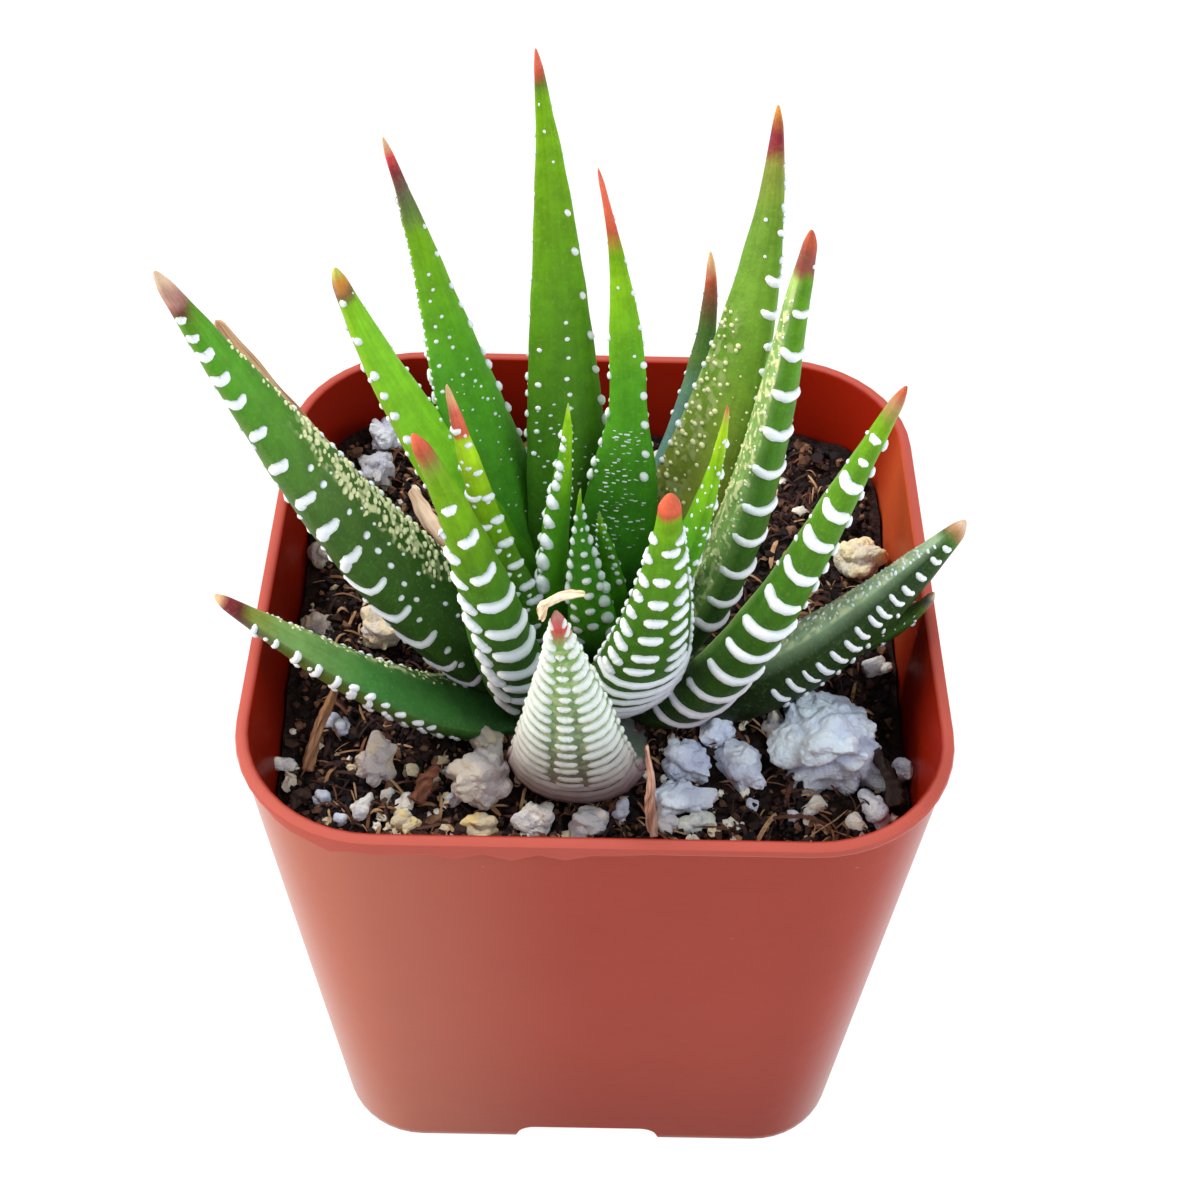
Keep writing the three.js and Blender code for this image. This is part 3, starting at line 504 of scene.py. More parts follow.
# Smaller lumps that the photograph shows: where they lie, and their half sizes across and along.
GRITS = (
    (26.1, -13.3, 1, 1), (21.5, -19.4, 0.7, 1), (13.2, -16.7, 0.5, 0.5), (18.4, -17.6, 0.7, 1.4),
    (2.3, -18.2, 0.8, 1.2), (6, -18.9, 1, 1.2), (-22, -10, 0.9, 1.8), (-26, -14.1, 0.8, 1.4),
    (-22.6, -17.5, 0.7, 0.7), (-19, -18.6, 0.8, 1.2), (-20.8, -19.8, 0.6, 0.6), (-12.2, -14.4, 0.6, 1),
    (-11.7, -17.2, 0.5, 0.5), (0.5, -18.6, 1.1, 1.1), (16.5, -18.8, 0.5, 0.5), (-16.9, -17.3, 0.5, 0.6),
)
GRIT_TONES = ("#e2e6f2", "#ece6dc", "#d9dce8", "#efe8d8")
STONE_SINK = 0.45
CRUMB_TONES = ("#1a1012", "#2c1b1a", "#42291f", "#120a0c", "#5e3f30", "#22151a", "#7d5a42", "#180f12")
FIBRE_TONES = ("#7a4f39", "#9a7250", "#4a2c24", "#b8916a", "#2c1a18", "#5f3a30", "#3a2422", "#27181a")
GRAIN_TONES = ("#e6dfd2", "#efe9e0", "#d9c7a6", "#cdbfae", "#e3d3b0")
GRAIN_HALF = 0.34
# Across the cleft in the largest lump.
CLEFT_WAY = np.array([-0.2, 0.72, 0.66])

# The pot's painted sunlight on its front left, the painted glow on the inside of its right wall, and its
# nicks.
SUNLIT = "#c88c76"
GLOWING = "#b8502c"
NICKED = "#d8a898"

# Lights: where they stand in metres, how wide, which setting gives their power, its share, colour.
LIGHT_AIM = 0.055
LIGHTS = (
    ("main_light", (-0.28, 0.22, 0.52), 0.22, "key_power", 1.0, (1.0, 0.98, 0.95)),
    ("side_light", (-0.58, -0.1, 0.2), 0.25, "side_power", 1.0, (1.0, 0.88, 0.74)),
    ("rim_light", (0.56, 0.02, 0.16), 0.25, "side_power", 0.4, (1.0, 0.94, 0.88)),
    ("sky_light", (0.28, -0.2, 0.5), 0.3, "fill_power", 1.0, (0.8, 0.91, 1.0)),
    ("front_fill", (0.22, -0.52, 0.32), 0.4, "fill_power", 1.0, (0.96, 0.98, 1.0)),
)


# Small helpers.


def linear(code):
    """A hex colour as the linear RGB that shaders work in."""
    channels = [int(code[i:i + 2], 16) / 255 for i in (1, 3, 5)]
    return np.array([c / 12.92 if c <= 0.04045 else ((c + 0.055) / 1.055) ** 2.4 for c in channels])


def linear_of(colour):
    """A colour property's values."""
    return np.array(colour[:3])


def swatch(name):
    return linear(PALETTE[name])


def ease(share):
    """0 below 0, 1 above 1, smooth between."""
    inside = np.clip(share, 0, 1)
    return inside * inside * (3 - 2 * inside)


def soil_height(x, y):
    swell = 0.55 * np.sin(0.31 * x + 1.2) * np.cos(0.27 * y - 0.6)
    lumps = 0.4 * np.sin(0.83 * x - 0.51 * y) * np.sin(0.47 * x + 0.91 * y + 0.8)
    front = -0.9 * np.exp(-((x + 1) ** 2 + (y + 17) ** 2) / 60)
    bank = BANK_BACK * ease((y - 6) / 16) + BANK_LEFT * ease((-x - 14) / 11) * ease((y + 18) / 14)
    bank = bank + BANK_RIGHT * ease((x - 15) / 10) * ease((y + 14) / 14)
    return SOIL_TOP + swell + lumps + front + bank


def pot_half(z):
    return POT_BOTTOM_HALF + (POT_TOP_HALF - POT_BOTTOM_HALF) * z / POT_HEIGHT


def pot_corner(z):
    return POT_BOTTOM_CORNER + (POT_TOP_CORNER - POT_BOTTOM_CORNER) * z / POT_HEIGHT


def deselect():
    bpy.ops.object.select_all(action="DESELECT")


def only(piece):
    deselect()
    piece.select_set(True)
    bpy.context.view_layer.objects.active = piece


def primitive(add, **settings):
    """Adds one of Blender's primitive meshes and returns it."""
    deselect()
    add(**settings)
    return bpy.context.active_object


def edit(piece):
    only(piece)
    bpy.ops.object.mode_set(mode="EDIT")


def leave_edit():
    bpy.ops.object.mode_set(mode="OBJECT")


def pick_verts(piece, test):
    """Selects the vertices that pass a test, in edit mode."""
    mesh = bmesh.from_edit_mesh(piece.data)
    for vert in mesh.verts:
        vert.select = test(vert)
    mesh.select_flush(True)
    bmesh.update_edit_mesh(piece.data)


def pick_edges(piece, test):
    """Selects the edges that pass a test, in edit mode."""
    mesh = bmesh.from_edit_mesh(piece.data)
    for edge in mesh.edges:
        edge.select = test(edge)
    bmesh.update_edit_mesh(piece.data)


def close_holes(piece):
    """Fills the open rims and turns every face outwards, in edit mode."""
    pick_edges(piece, lambda edge: edge.is_boundary)
    bpy.ops.mesh.fill_holes(sides=0)
    bpy.ops.mesh.select_all(action="SELECT")
    bpy.ops.mesh.normals_make_consistent(inside=False)


def apply_all(piece):
    """Applies every modifier, and moves the object's place into its mesh."""
    only(piece)
    for modifier in list(piece.modifiers):
        bpy.ops.object.modifier_apply(modifier=modifier.name)
    bpy.ops.object.transform_apply(location=True, rotation=True, scale=True)


def close_up(piece, distance):
    """Merges doubles and turns every face outwards."""
    edit(piece)
    bpy.ops.mesh.select_all(action="SELECT")
    bpy.ops.mesh.remove_doubles(threshold=distance)
    bpy.ops.mesh.normals_make_consistent(inside=False)
    leave_edit()


def smooth(piece, degrees=180):
    only(piece)
    if degrees >= 180:
        bpy.ops.object.shade_smooth()
    else:
        bpy.ops.object.shade_smooth_by_angle(angle=math.radians(degrees))


def settle(piece, name, slot, *nodes):
    """Names a finished piece and hangs it on the body. The slot, which says what it stands for, is not used.
    """
    piece.name = name
    piece.data.name = name
    if nodes:
        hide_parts(*nodes)
    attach(piece, "root")


def join(pieces):
    deselect()
    for piece in pieces:
        piece.select_set(True)
    bpy.context.view_layer.objects.active = pieces[0]
    if len(pieces) > 1:
        bpy.ops.object.join()
    return pieces[0]


def paint(mesh, colours):
    """Stores the tone of each vertex: one colour each, or one for all."""
    layer = mesh.color_attributes.new("tone", "FLOAT_COLOR", "POINT")
    rgba = np.ones((len(mesh.vertices), 4), np.float32)
    rgba[:, :3] = np.clip(colours, 0, 1)
    layer.data.foreach_set("color", rgba.ravel())


def store(mesh, name, values):
    """Stores a number for each vertex."""
    layer = mesh.attributes.new(name, "FLOAT", "POINT")
    layer.data.foreach_set("value", np.asarray(values, np.float32))


def spots_of(mesh):
    co = np.empty(len(mesh.vertices) * 3, np.float32)
    mesh.vertices.foreach_get("co", co)
    return co.reshape(-1, 3).astype(float)


def place_spots(mesh, spots):
    mesh.vertices.foreach_set("co", np.asarray(spots, np.float32).ravel())
    mesh.update()


def sheet(across, along):
    """A flat unit grid with its own UV map, to be wrapped round a form."""
    piece = primitive(
        bpy.ops.mesh.primitive_grid_add, x_subdivisions=across, y_subdivisions=along, size=1,
        location=(0.5, 0.5, 0), calc_uvs=True)
    bpy.ops.object.transform_apply(location=True, rotation=False, scale=False)
    return piece


def piece_of(name, spots, faces, tones):
    """A piece from lists of vertices in millimetres, faces and tones."""
    mesh = bpy.data.meshes.new(name)
    mesh.from_pydata((np.concatenate(spots) * MM).tolist(), [], faces)
    paint(mesh, np.concatenate(tones))
    piece = bpy.data.objects.new(name, mesh)
    bpy.context.collection.objects.link(piece)
    return piece


def run_of(points):
    """How far along a path each of its points lies."""
    return np.concatenate([[0], np.cumsum(np.linalg.norm(np.diff(points, axis=0), axis=1))])


def between(at, places, table):
    """Each column of a table, read between its rows."""
    return np.stack([np.interp(at, places, column) for column in table.T], -1)


def unit(rows):
    return rows / np.maximum(np.linalg.norm(rows, axis=-1), 1e-9)[..., None]


def ripple(spots, scale, seed):
    """Smooth noise between -1 and 1 at each spot."""
    shift = Vector((seed * 7.3, seed * 3.1, seed * 5.7))
    return np.array([noise.noise(Vector(p) * scale + shift) for p in spots])


# Shader helpers.


class Signal:
    """A value in a material, so that node maths reads as plain arithmetic."""

    def __init__(self, finish, socket):
        self.finish = finish
        self.socket = socket

    def _with(self, operation, *values):
        node = self.finish.add("ShaderNodeMath", {"operation": operation}, dict(enumerate(values)))
        return Signal(self.finish, node.outputs[0])

    def __add__(self, other):
        return self._with("ADD", self, other)

    def __sub__(self, other):
        return self._with("SUBTRACT", self, other)

    def __mul__(self, other):
        return self._with("MULTIPLY", self, other)

    def __rsub__(self, other):
        return self._with("SUBTRACT", other, self)

    __radd__ = __add__
    __rmul__ = __mul__

    def step(self, low, high):
        """0 below low, 1 above high, smooth between."""
        node = self.finish.add(
            "ShaderNodeMapRange", {"interpolation_type": "SMOOTHSTEP", "clamp": True},
            {"Value": self, "From Min": low, "From Max": high, "To Min": 0.0, "To Max": 1.0})
        return Signal(self.finish, node.outputs[0])


class Finish:
    """One material, built node by node."""

    def __init__(self, name):
        self.material = bpy.data.materials.new(name)
        self.material.use_nodes = True
        self.tree = self.material.node_tree
        self.shader = self.tree.nodes["Principled BSDF"]

    def add(self, kind, settings=None, inputs=None):
        node = self.tree.nodes.new(kind)
        for key, value in (settings or {}).items():
            setattr(node, key, value)
        self.feed(node, inputs or {})
        return node

    def feed(self, node, inputs):
        for key, value in inputs.items():
            if isinstance(value, Signal):
                self.tree.links.new(value.socket, node.inputs[key])
            elif isinstance(value, np.ndarray):
                node.inputs[key].default_value = (*value, 1.0)
            else:
                node.inputs[key].default_value = value

    def out(self, node, key=0):
        return Signal(self, node.outputs[key])

    def place(self):
        """Object coordinates."""
        return self.out(self.add("ShaderNodeTexCoord"), "Object")

    def stretched(self, where, stretch):
        return self.out(self.add("ShaderNodeMapping", None, {"Vector": where, "Scale": stretch}))

    def along(self, stretch):
        """The piece's own UV map, stretched."""
        return self.stretched(self.out(self.add("ShaderNodeTexCoord"), "UV"), stretch)

    def noise(self, size, where=None, detail=2.0, rough=0.55):
        """Noise whose lumps are about this many millimetres across."""
        node = self.add("ShaderNodeTexNoise", None, {
            "Vector": where or self.place(), "Scale": 1 / (size * MM) if where is None else 1 / size,
            "Detail": detail, "Roughness": rough})
        return self.out(node, 0)

    def stored(self, name, key="Fac"):
        return self.out(self.add("ShaderNodeAttribute", {"attribute_name": name}), key)

    def mix(self, share, first, second):
        node = self.add("ShaderNodeMix", {"data_type": "RGBA"})
        self.feed(node, {0: share, 6: first, 7: second})
        return Signal(self, node.outputs[2])

    def relief(self, height, depth):
        """A bump of this many millimetres."""
        node = self.add("ShaderNodeBump", None, {"Height": height, "Distance": depth * MM, "Strength": 1.0})
        return self.out(node)

    def finish(self, **sockets):
        """Sets the shader's sockets: underscores stand for spaces."""
        self.feed(self.shader, {key.replace("_", " "): value for key, value in sockets.items()})
        return self.material


def skin_finish(look):
    """Leaf skin: the stored tone, mottled, streaked along the leaf, with whitish patches where stored."""
    skin = Finish("haworthia_skin")
    tone = skin.stored("tone", "Color")
    grain = skin.stored("grain")
    mottle = skin.noise(1.3, detail=3.0)
    fine = skin.noise(0.3, detail=2.0)
    streak = skin.noise(1.0, skin.along((26.0, 3.0, 1.0)), detail=2.0)
    patch = skin.noise(0.85, detail=1.0)
    dark = skin.mix(0.3, tone, swatch("night"))
    light = skin.mix(0.22, tone, swatch("pale"))
    colour = skin.mix((mottle + streak * 0.6).step(0.5, 1.1), dark, tone)
    colour = skin.mix(fine.step(0.5, 0.75) * 0.35, colour, light)
    pale = patch.step(0.46, 0.62) * grain
    colour = skin.mix(pale * 0.55, colour, swatch("cream"))
    height = fine * 0.4 + streak * 0.35 + pale * 0.8
    return skin.finish(
        Base_Color=colour, Roughness=0.36 + fine * 0.2 + grain * 0.1, Normal=skin.relief(height, 0.09),
        Subsurface_Weight=look.skin_glow, Subsurface_Radius=(0.4, 1.0, 0.15), Subsurface_Scale=0.7 * MM,
        Specular_IOR_Level=0.12)


def bar_finish(look):
    """The raised bars: chalky white, with painted shade at the foot."""
    bar = Finish("haworthia_bar")
    tone = bar.stored("tone", "Color")
    fine = bar.noise(0.22, detail=3.0)
    colour = bar.mix(fine.step(0.5, 0.85) * 0.12, tone, swatch("lilac"))
    return bar.finish(
        Base_Color=colour, Roughness=0.5 + fine * 0.2, Normal=bar.relief(fine, 0.05),
        Subsurface_Weight=0.15, Subsurface_Radius=(1.0, 1.0, 0.9), Subsurface_Scale=0.4 * MM)


def plastic_finish(look):
    """The pot's plastic: satin and slightly cloudy, with a few nicks, and with light and shade painted into
    its colour: paler at the front left as painted sunlight, paler along the lip as painted light, darker
    towards the bottom and within as painted shade, but for a painted glow at the right."""
    plastic = Finish("pot_plastic")
    where = plastic.place()
    parted = plastic.add("ShaderNodeSeparateXYZ", None, {0: where})
    across, depth, height = [plastic.out(parted, axis) for axis in "XYZ"]
    cloud = plastic.noise(9.0, detail=3.0)
    fine = plastic.noise(0.3, detail=3.0)
    brushed = plastic.noise(1.0, plastic.stretched(where, (220.0, 220.0, 1500.0)), detail=2.0)
    nick = plastic.noise(1.0, plastic.stretched(where, (420.0, 420.0, 700.0)), detail=0.0)
    base = linear_of(look.pot_colour)
    colour = plastic.mix(cloud.step(0.3, 0.7) * 0.25, base, base * 0.85)
    # Painted shade: the colour darkens towards the bottom.
    colour = plastic.mix(height.step(-8 * MM, 30 * MM), base * 0.72, colour)
    # Painted sunlight: the front left is painted paler.
    front = 1.0 - depth.step(-24 * MM, -12 * MM)
    left = 1.0 - across.step(-26 * MM, 2 * MM)
    colour = plastic.mix(front * left * 0.4, colour, linear(SUNLIT))
    # Painted light: the lip is painted paler.
    lip = plastic.stored("lip").step(0.3, 0.8)
    colour = plastic.mix(lip * 0.9, colour, linear_of(look.lip_colour))
    # Painted shade: the inner walls are painted darker than the outside.
    within = plastic.stored("within")
    # Painted glow: a pool of light painted on the right inner wall.
    glow = across.step(20 * MM, 27 * MM) * depth.step(-6 * MM, 6 * MM)
    glow = glow * (1.0 - depth.step(14 * MM, 22 * MM))
    inner = plastic.mix(glow * 0.85, linear_of(look.shaded_inside_colour), linear(GLOWING))
    colour = plastic.mix(within, colour, inner)
    colour = plastic.mix(nick.step(0.87, 0.9) * 0.5, colour, linear(NICKED))
    relief = cloud * 2.0 + fine * 0.2 + brushed * 0.2
    facing = plastic.out(plastic.add("ShaderNodeLayerWeight", None, {"Blend": 0.5}), "Facing")
    glancing = facing.step(0.62, 0.95)
    return plastic.finish(
        Base_Color=colour, Roughness=look.pot_gloss + fine * 0.14 + brushed * 0.06 - within * 0.12,
        Normal=plastic.relief(relief, 0.07), Subsurface_Weight=0.12,
        Subsurface_Radius=(1.0, 0.3, 0.15), Subsurface_Scale=1.5 * MM, Specular_IOR_Level=0.04,
        Coat_Weight=glancing * (1.0 - within), Coat_Roughness=0.42, Coat_IOR=1.8)


def peat_finish(name, low, high, size):
    """Peat and fibre: dark, dull and crumbly."""
    peat = Finish(name)
    coarse = peat.noise(size, detail=5.0, rough=0.65)
    fine = peat.noise(size / 5, detail=3.0)
    colour = peat.mix(coarse.step(0.38, 0.68), linear(low), linear(high))
    colour = peat.mix(fine.step(0.6, 0.8) * 0.35, colour, linear("#8a6a50"))
    return peat.finish(
        Base_Color=colour, Roughness=0.86 + fine * 0.12, Normal=peat.relief(coarse + fine * 0.5, 0.35),
        Specular_IOR_Level=0.25)


def tinted_finish(name, size, depth, stain):
    """Small loose bits that bring their colour with them."""
    bits = Finish(name)
    tone = bits.stored("tone", "Color")
    coarse = bits.noise(size, detail=4.0)
    colour = bits.mix(coarse.step(0.4, 0.7) * 0.45, tone, linear(stain))
    return bits.finish(
        Base_Color=colour, Roughness=0.8 + coarse * 0.15, Normal=bits.relief(coarse, depth),
        Specular_IOR_Level=0.3)


def perlite_finish():
    """Perlite: bluish white, popcorn-like, with lavender painted shade in its creases and hollows, and a few
    warm stains.
    """
    stone = Finish("perlite")
    tone = stone.stored("tone", "Color")
    fold = stone.stored("fold")
    coarse = stone.noise(1.8, detail=4.0)
    fine = stone.noise(0.28, detail=4.0)
    colour = stone.mix(coarse.step(0.45, 0.75) * 0.2, tone, linear("#cbd6f2"))
    # Painted shade: lavender where the lump's creases and hollows lie.
    colour = stone.mix(fold * 0.45, colour, linear("#a3abd0"))
    colour = stone.mix(fine.step(0.6, 0.8) * 0.14, colour, linear("#b9a892"))
    return stone.finish(
        Base_Color=colour, Roughness=0.85 + fine * 0.1,
        Normal=stone.relief(coarse * 2.0 + fine * 1.3, 0.18), Subsurface_Weight=0.15,
        Subsurface_Radius=(1.0, 1.0, 1.0), Subsurface_Scale=0.5 * MM, Specular_IOR_Level=0.3)


def dry_finish(name, fresh, worn):
    """A withered leaf or a wood scrap: fibres along its length, darker in the furrows."""
    dry = Finish(name)
    grain = dry.noise(1.0, dry.along((14.0, 2.2, 1.0)), detail=4.0)
    cloud = dry.noise(2.2, detail=3.0)
    colour = dry.mix(grain.step(0.35, 0.65), linear(worn), linear(fresh))
    colour = dry.mix(cloud.step(0.5, 0.8) * 0.4, colour, linear(worn) * 0.7)
    return dry.finish(
        Base_Color=colour, Roughness=0.7 + grain * 0.2, Normal=dry.relief(grain, 0.15),
        Specular_IOR_Level=0.35)


# Leaves.


class Blade:
    """One leaf's form: a midline with a rounded section that is flatter above than below."""

    STEPS = 401

    def __init__(self, name):
        row = LEAVES[name]
        heading = math.radians(row[0])
        self.wide, self.thick, self.end, self.fine = row[6:10]
        roll = math.radians(row[10])
        self.waist = WAISTS.get(name, (0.5, 1.0, 0.0))
        out = np.array([math.cos(heading), math.sin(heading), 0])
        level = np.array([math.sin(heading), -math.cos(heading), 0])
        root = np.array([HEART[0], HEART[1], row[2]]) + out * row[1]
        corners = [root] + [np.array(point, float) for point in row[3:6]]
        t = np.linspace(0, 1, self.STEPS)[:, None]
        a, b, c, d = corners
        mid = (1 - t) ** 3 * a + 3 * t * (1 - t) ** 2 * b + 3 * t * t * (1 - t) * c + t ** 3 * d
        along = 3 * (1 - t) ** 2 * (b - a) + 6 * t * (1 - t) * (c - b) + 3 * t * t * (d - c)
        along = unit(along)
        up = unit(np.cross(level, along))
        side = np.cross(along, up)
        self.side = math.cos(roll) * side + math.sin(roll) * up
        self.up = -math.sin(roll) * side + math.cos(roll) * up
        run = run_of(mid)
        self.length = run[-1]
        self.share = run / run[-1]
        self.mid = mid

    def _at(self, table, s):
        return between(s, self.share, table)

    def skin(self, s, q):
        """Points on the skin, in millimetres, at shares s of the length and angles q in degrees."""
        s = np.asarray(s, float)
        inside = np.clip(s, 0, 1)
        clasp = 1 - CLASP_DROP * np.maximum(0, 1 - inside / CLASP) ** 2
        body = (1 - inside ** 2) ** self.fine * clasp
        tip = self.end * np.sqrt(np.clip((1 - inside) / TIP_CLOSE, 0, 1))
        foot = np.sqrt(np.clip(inside / 0.01, 0, 1))
        place, spread, depth = self.waist
        waist = 1 - depth * np.exp(-((inside - place) / spread) ** 2)
        half = (self.wide / 2 * body * waist + tip) * foot
        thick = (self.thick * body ** THICK_POWER + TIP_THICK * tip) * foot
        angle = np.radians(q)
        across = np.cos(angle) * half
        rise = np.sin(angle)
        lift = np.where(
            rise > 0, UPPER_SHARE * np.abs(rise) ** UPPER_CREST,
            -(1 - UPPER_SHARE) * np.abs(rise) ** LOWER_CREST) * thick
        return self._at(self.mid, inside) + self._at(self.side, inside) * across[..., None] \
            + self._at(self.up, inside) * lift[..., None]

    def outward(self, s, q):
        """Unit normals of the skin."""
        ds = self.skin(np.minimum(s + 0.004, 0.999), q) - self.skin(s - 0.004, q)
        dq = self.skin(s, q + 4) - self.skin(s, q - 4)
        normal = unit(np.cross(dq, ds))
        away = self.skin(s, q) - self._at(self.mid, s)
        flip = np.sign((normal * away).sum(-1))
        return normal * np.where(flip == 0, 1, flip)[..., None]

    def tone(self, s, q, name):
        """Colours at places on the skin: the back's and the upper face's, blended at the margins."""
        places = TONE_FOOT + TONE_POINTS.get(name, TONE_POINT)
        shades = []
        for line in (TONES[name][0], TONES[name][-1]):
            table = np.array([swatch(word) for word in line.split()])
            shades.append(between(s, places, table))
        above = np.clip(np.sin(np.radians(q)) * 2.2 + 0.5, 0, 1)[..., None]
        return shades[0] * (1 - above) + shades[1] * above


def grain_at(name, s, q):
    """How grainy the skin is at each place."""
    total = np.zeros_like(s)
    for low, high, first, last, strength in GRAIN.get(name, ()):
        turn = (q - low) % 360
        width = (high - low) % 360
        around = np.clip(turn / 12, 0, 1) * np.clip((width - turn) / 12, 0, 1)
        length = np.clip((s - first) / 0.08, 0, 1) * np.clip((last - s) / 0.08, 0, 1)
        total = np.maximum(total, strength * around * length)
    return total


def grow_flesh(name, blade, rng):
    """Wraps a sheet into the leaf, closes it, and stores its colours."""
    piece = sheet(LEAF_SIDES, LEAF_RINGS)
    mesh = piece.data
    flat = spots_of(mesh)
    q = flat[:, 0] * 360
    s = flat[:, 1]
    s = np.where(s > 0.9, 1 - (1 - s) ** 1.5 / math.sqrt(0.1), s)
    points = blade.skin(s, q)
    waves = ripple(points, 0.35, rng.uniform(0, 50))
    normal = blade.outward(np.clip(s, 0.01, 0.995), q)
    body = np.clip((1 - s) / 0.1, 0, 1) * np.clip(s / 0.05, 0, 1)
    points = points + normal * (waves * 0.1 * body)[:, None]
    blotch = ripple(points, 0.16, rng.uniform(0, 50)) * 0.18
    ragged = ripple(points, 0.9, rng.uniform(0, 50)) * 0.012
    colours = blade.tone(np.clip(s + ragged, 0, 1), q, name) * (1 + blotch)[:, None]
    place_spots(mesh, points * MM)
    paint(mesh, colours)
    store(mesh, "grain", grain_at(name, s, q))
    close_up(piece, 0.002 * MM)
    smooth(piece)
    return piece


class Bead:
    """A round-ended bead, modelled once, whose copies are bent onto the skins."""

    def __init__(self, segments, rings):
        ball = primitive(bpy.ops.mesh.primitive_uv_sphere_add, segments=segments, ring_count=rings, radius=1)
        self.rings = rings
        co = spots_of(ball.data)
        self.turn = np.arctan2(co[:, 1], co[:, 0])
        self.station = np.round(np.arccos(np.clip(co[:, 2], -1, 1)) / math.pi * rings).astype(int)
        self.faces = [tuple(face.vertices) for face in ball.data.polygons]
        bpy.data.objects.remove(ball)

    def lay(self, points, normals, half, rise, sink, taper=0.0, drop=0.0, lumps=None):
        """Bends a copy along a path in millimetres, thinner towards its ends by the share that taper
        gives, and towards its last end by drop, uneven by lumps. Returns its spots and how high each
        stands."""
        run = run_of(points)
        length = run[-1]
        cap = min(half, length / 2)
        caps = 2
        middle = self.rings - 2 * caps
        place = np.zeros(self.rings + 1)
        size = np.zeros(self.rings + 1)
        for i in range(self.rings + 1):
            near = min(i, self.rings - i)
            if near <= caps:
                angle = near / caps * math.pi / 2
                x = cap * (1 - math.cos(angle))
                size[i] = math.sin(angle)
            else:
                x = cap + (length - 2 * cap) * (near - caps) / middle
                size[i] = 1
            place[i] = x if i <= self.rings / 2 else length - x
            run_share = place[i] / length
            size[i] *= 1 - taper * (2 * run_share - 1) ** 2 - drop * (run_share - 0.5)
            if lumps:
                size[i] *= lumps.uniform(0.88, 1.1)
        spot = between(place, run, points)
        normal = unit(between(place, run, normals))
        path = unit(between(place, run, np.gradient(points, axis=0)))
        cross = np.cross(normal, path)
        i = self.station
        high = np.sin(self.turn) * size[i]
        co = spot[i] + cross[i] * (np.cos(self.turn) * size[i] * half)[:, None] \
            + normal[i] * (high * rise - sink)[:, None]
        return co, high


def bar_path(blade, s, q0, q1, slope, first_hook, last_hook):
    """A path across the skin whose ends turn up to the tip."""
    t = np.linspace(0, 1, 25)
    q = q0 + (q1 - q0) * t
    bend = slope * (t - 0.5) + first_hook * np.clip(1 - 2 * t, 0, 1) ** 2.5 \
        + last_hook * np.clip(2 * t - 1, 0, 1) ** 2.5
    place = np.clip(s + bend / blade.length, 0.02, 0.985)
    return blade.skin(place, q), blade.outward(place, q), place, q


class Growth:
    """Gathers the bars, beads and specks of one leaf, to make one mesh of them."""

    STOP = 0.97

    def __init__(self, name, blade, look, rng):
        self.name = name
        self.blade = blade
        self.scale = look.bar_scale
        self.rng = rng
        self.spots = []
        self.faces = []
        self.tones = []
        self.count = 0

    def keep(self, bead, co, high, s, q, white_share, speck=False):
        share = np.full(len(co), float(np.mean(s)))
        under = self.blade.tone(share, np.full(len(co), float(np.mean(q))), self.name)
        # Painted shade: the bars' white is tinted with a shade colour towards the foot.
        foot_shade, white, first, last, most = FRONT_WHITES if self.name == FRONT_LEAF else WHITES
        near = np.clip((share[:, None] - first) / (last - first), 0, 1) * most
        white = swatch(foot_shade) * (1 - near) + swatch(white) * near
        if speck and self.name in CREAM_SPECKS:
            white = swatch("cream")
        rise = np.clip(0.5 + high, 0, 1)[:, None] * white_share
        self.spots.append(co)
        self.tones.append((under * 0.7 + white * 0.3) * (1 - rise) + white * rise)
        self.faces.extend(tuple(v + self.count for v in face) for face in bead.faces)
        self.count += len(co)

    def bar(self, bead, s, q0, q1, slope, first_hook, last_hook, half):
        if s > self.STOP:
            return
        rng = self.rng
        grown = half * self.scale * rng.uniform(0.9, 1.1)
        q0 += rng.uniform(-3, 3)
        q1 += rng.uniform(-3, 3)
        s += rng.uniform(-0.002, 0.002)
        turn = rng.uniform(0.8, 1.2)
        points, normals, place, q = bar_path(
            self.blade, s, q0, q1, slope, first_hook * turn, last_hook * turn)
        co, high = bead.lay(points, normals, grown, grown * 0.85, 0.05, 0.22, 0.0, rng)
        self.keep(bead, co, high, place, q, 1.0)

    def dot(self, bead, s, q, half, stretch, point, white_share=1.0, speck=False):
        """A bead on the skin, pointing across it (0) or along it (90)."""
        if s > self.STOP:
            return
        rng = self.rng
        blade = self.blade
        grown = half * self.scale * rng.uniform(0.85, 1.15)
        q += rng.uniform(-3, 3)
        s += rng.uniform(-0.003, 0.003)
        around = blade.skin(np.array([s, s]), np.array([q - 1.0, q + 1.0]))
        degree = max(np.linalg.norm(around[1] - around[0]) / 2, 0.02)
        lean = math.radians(point + rng.uniform(-15, 15))
        reach = grown * stretch * 1.05
        t = np.linspace(1, -1, 9)
        places = np.clip(s + t * reach * math.sin(lean) / blade.length, 0.02, 0.985)
        turns = q + t * min(reach * math.cos(lean) / degree, 40)
        points = blade.skin(places, turns)
        normals = blade.outward(places, turns)
        normals[:] = normals[4]
        co, high = bead.lay(points, normals, grown, grown * 0.85, 0.02, drop=-0.3 * math.sin(lean))
        self.keep(bead, co, high, places, turns, white_share, speck)

    def piece(self):
        piece = piece_of(self.name + "_bars", self.spots, self.faces, self.tones)
        store(piece.data, "grain", np.zeros(self.count))
        close_up(piece, 0.0005 * MM)
        smooth(piece)
        return piece


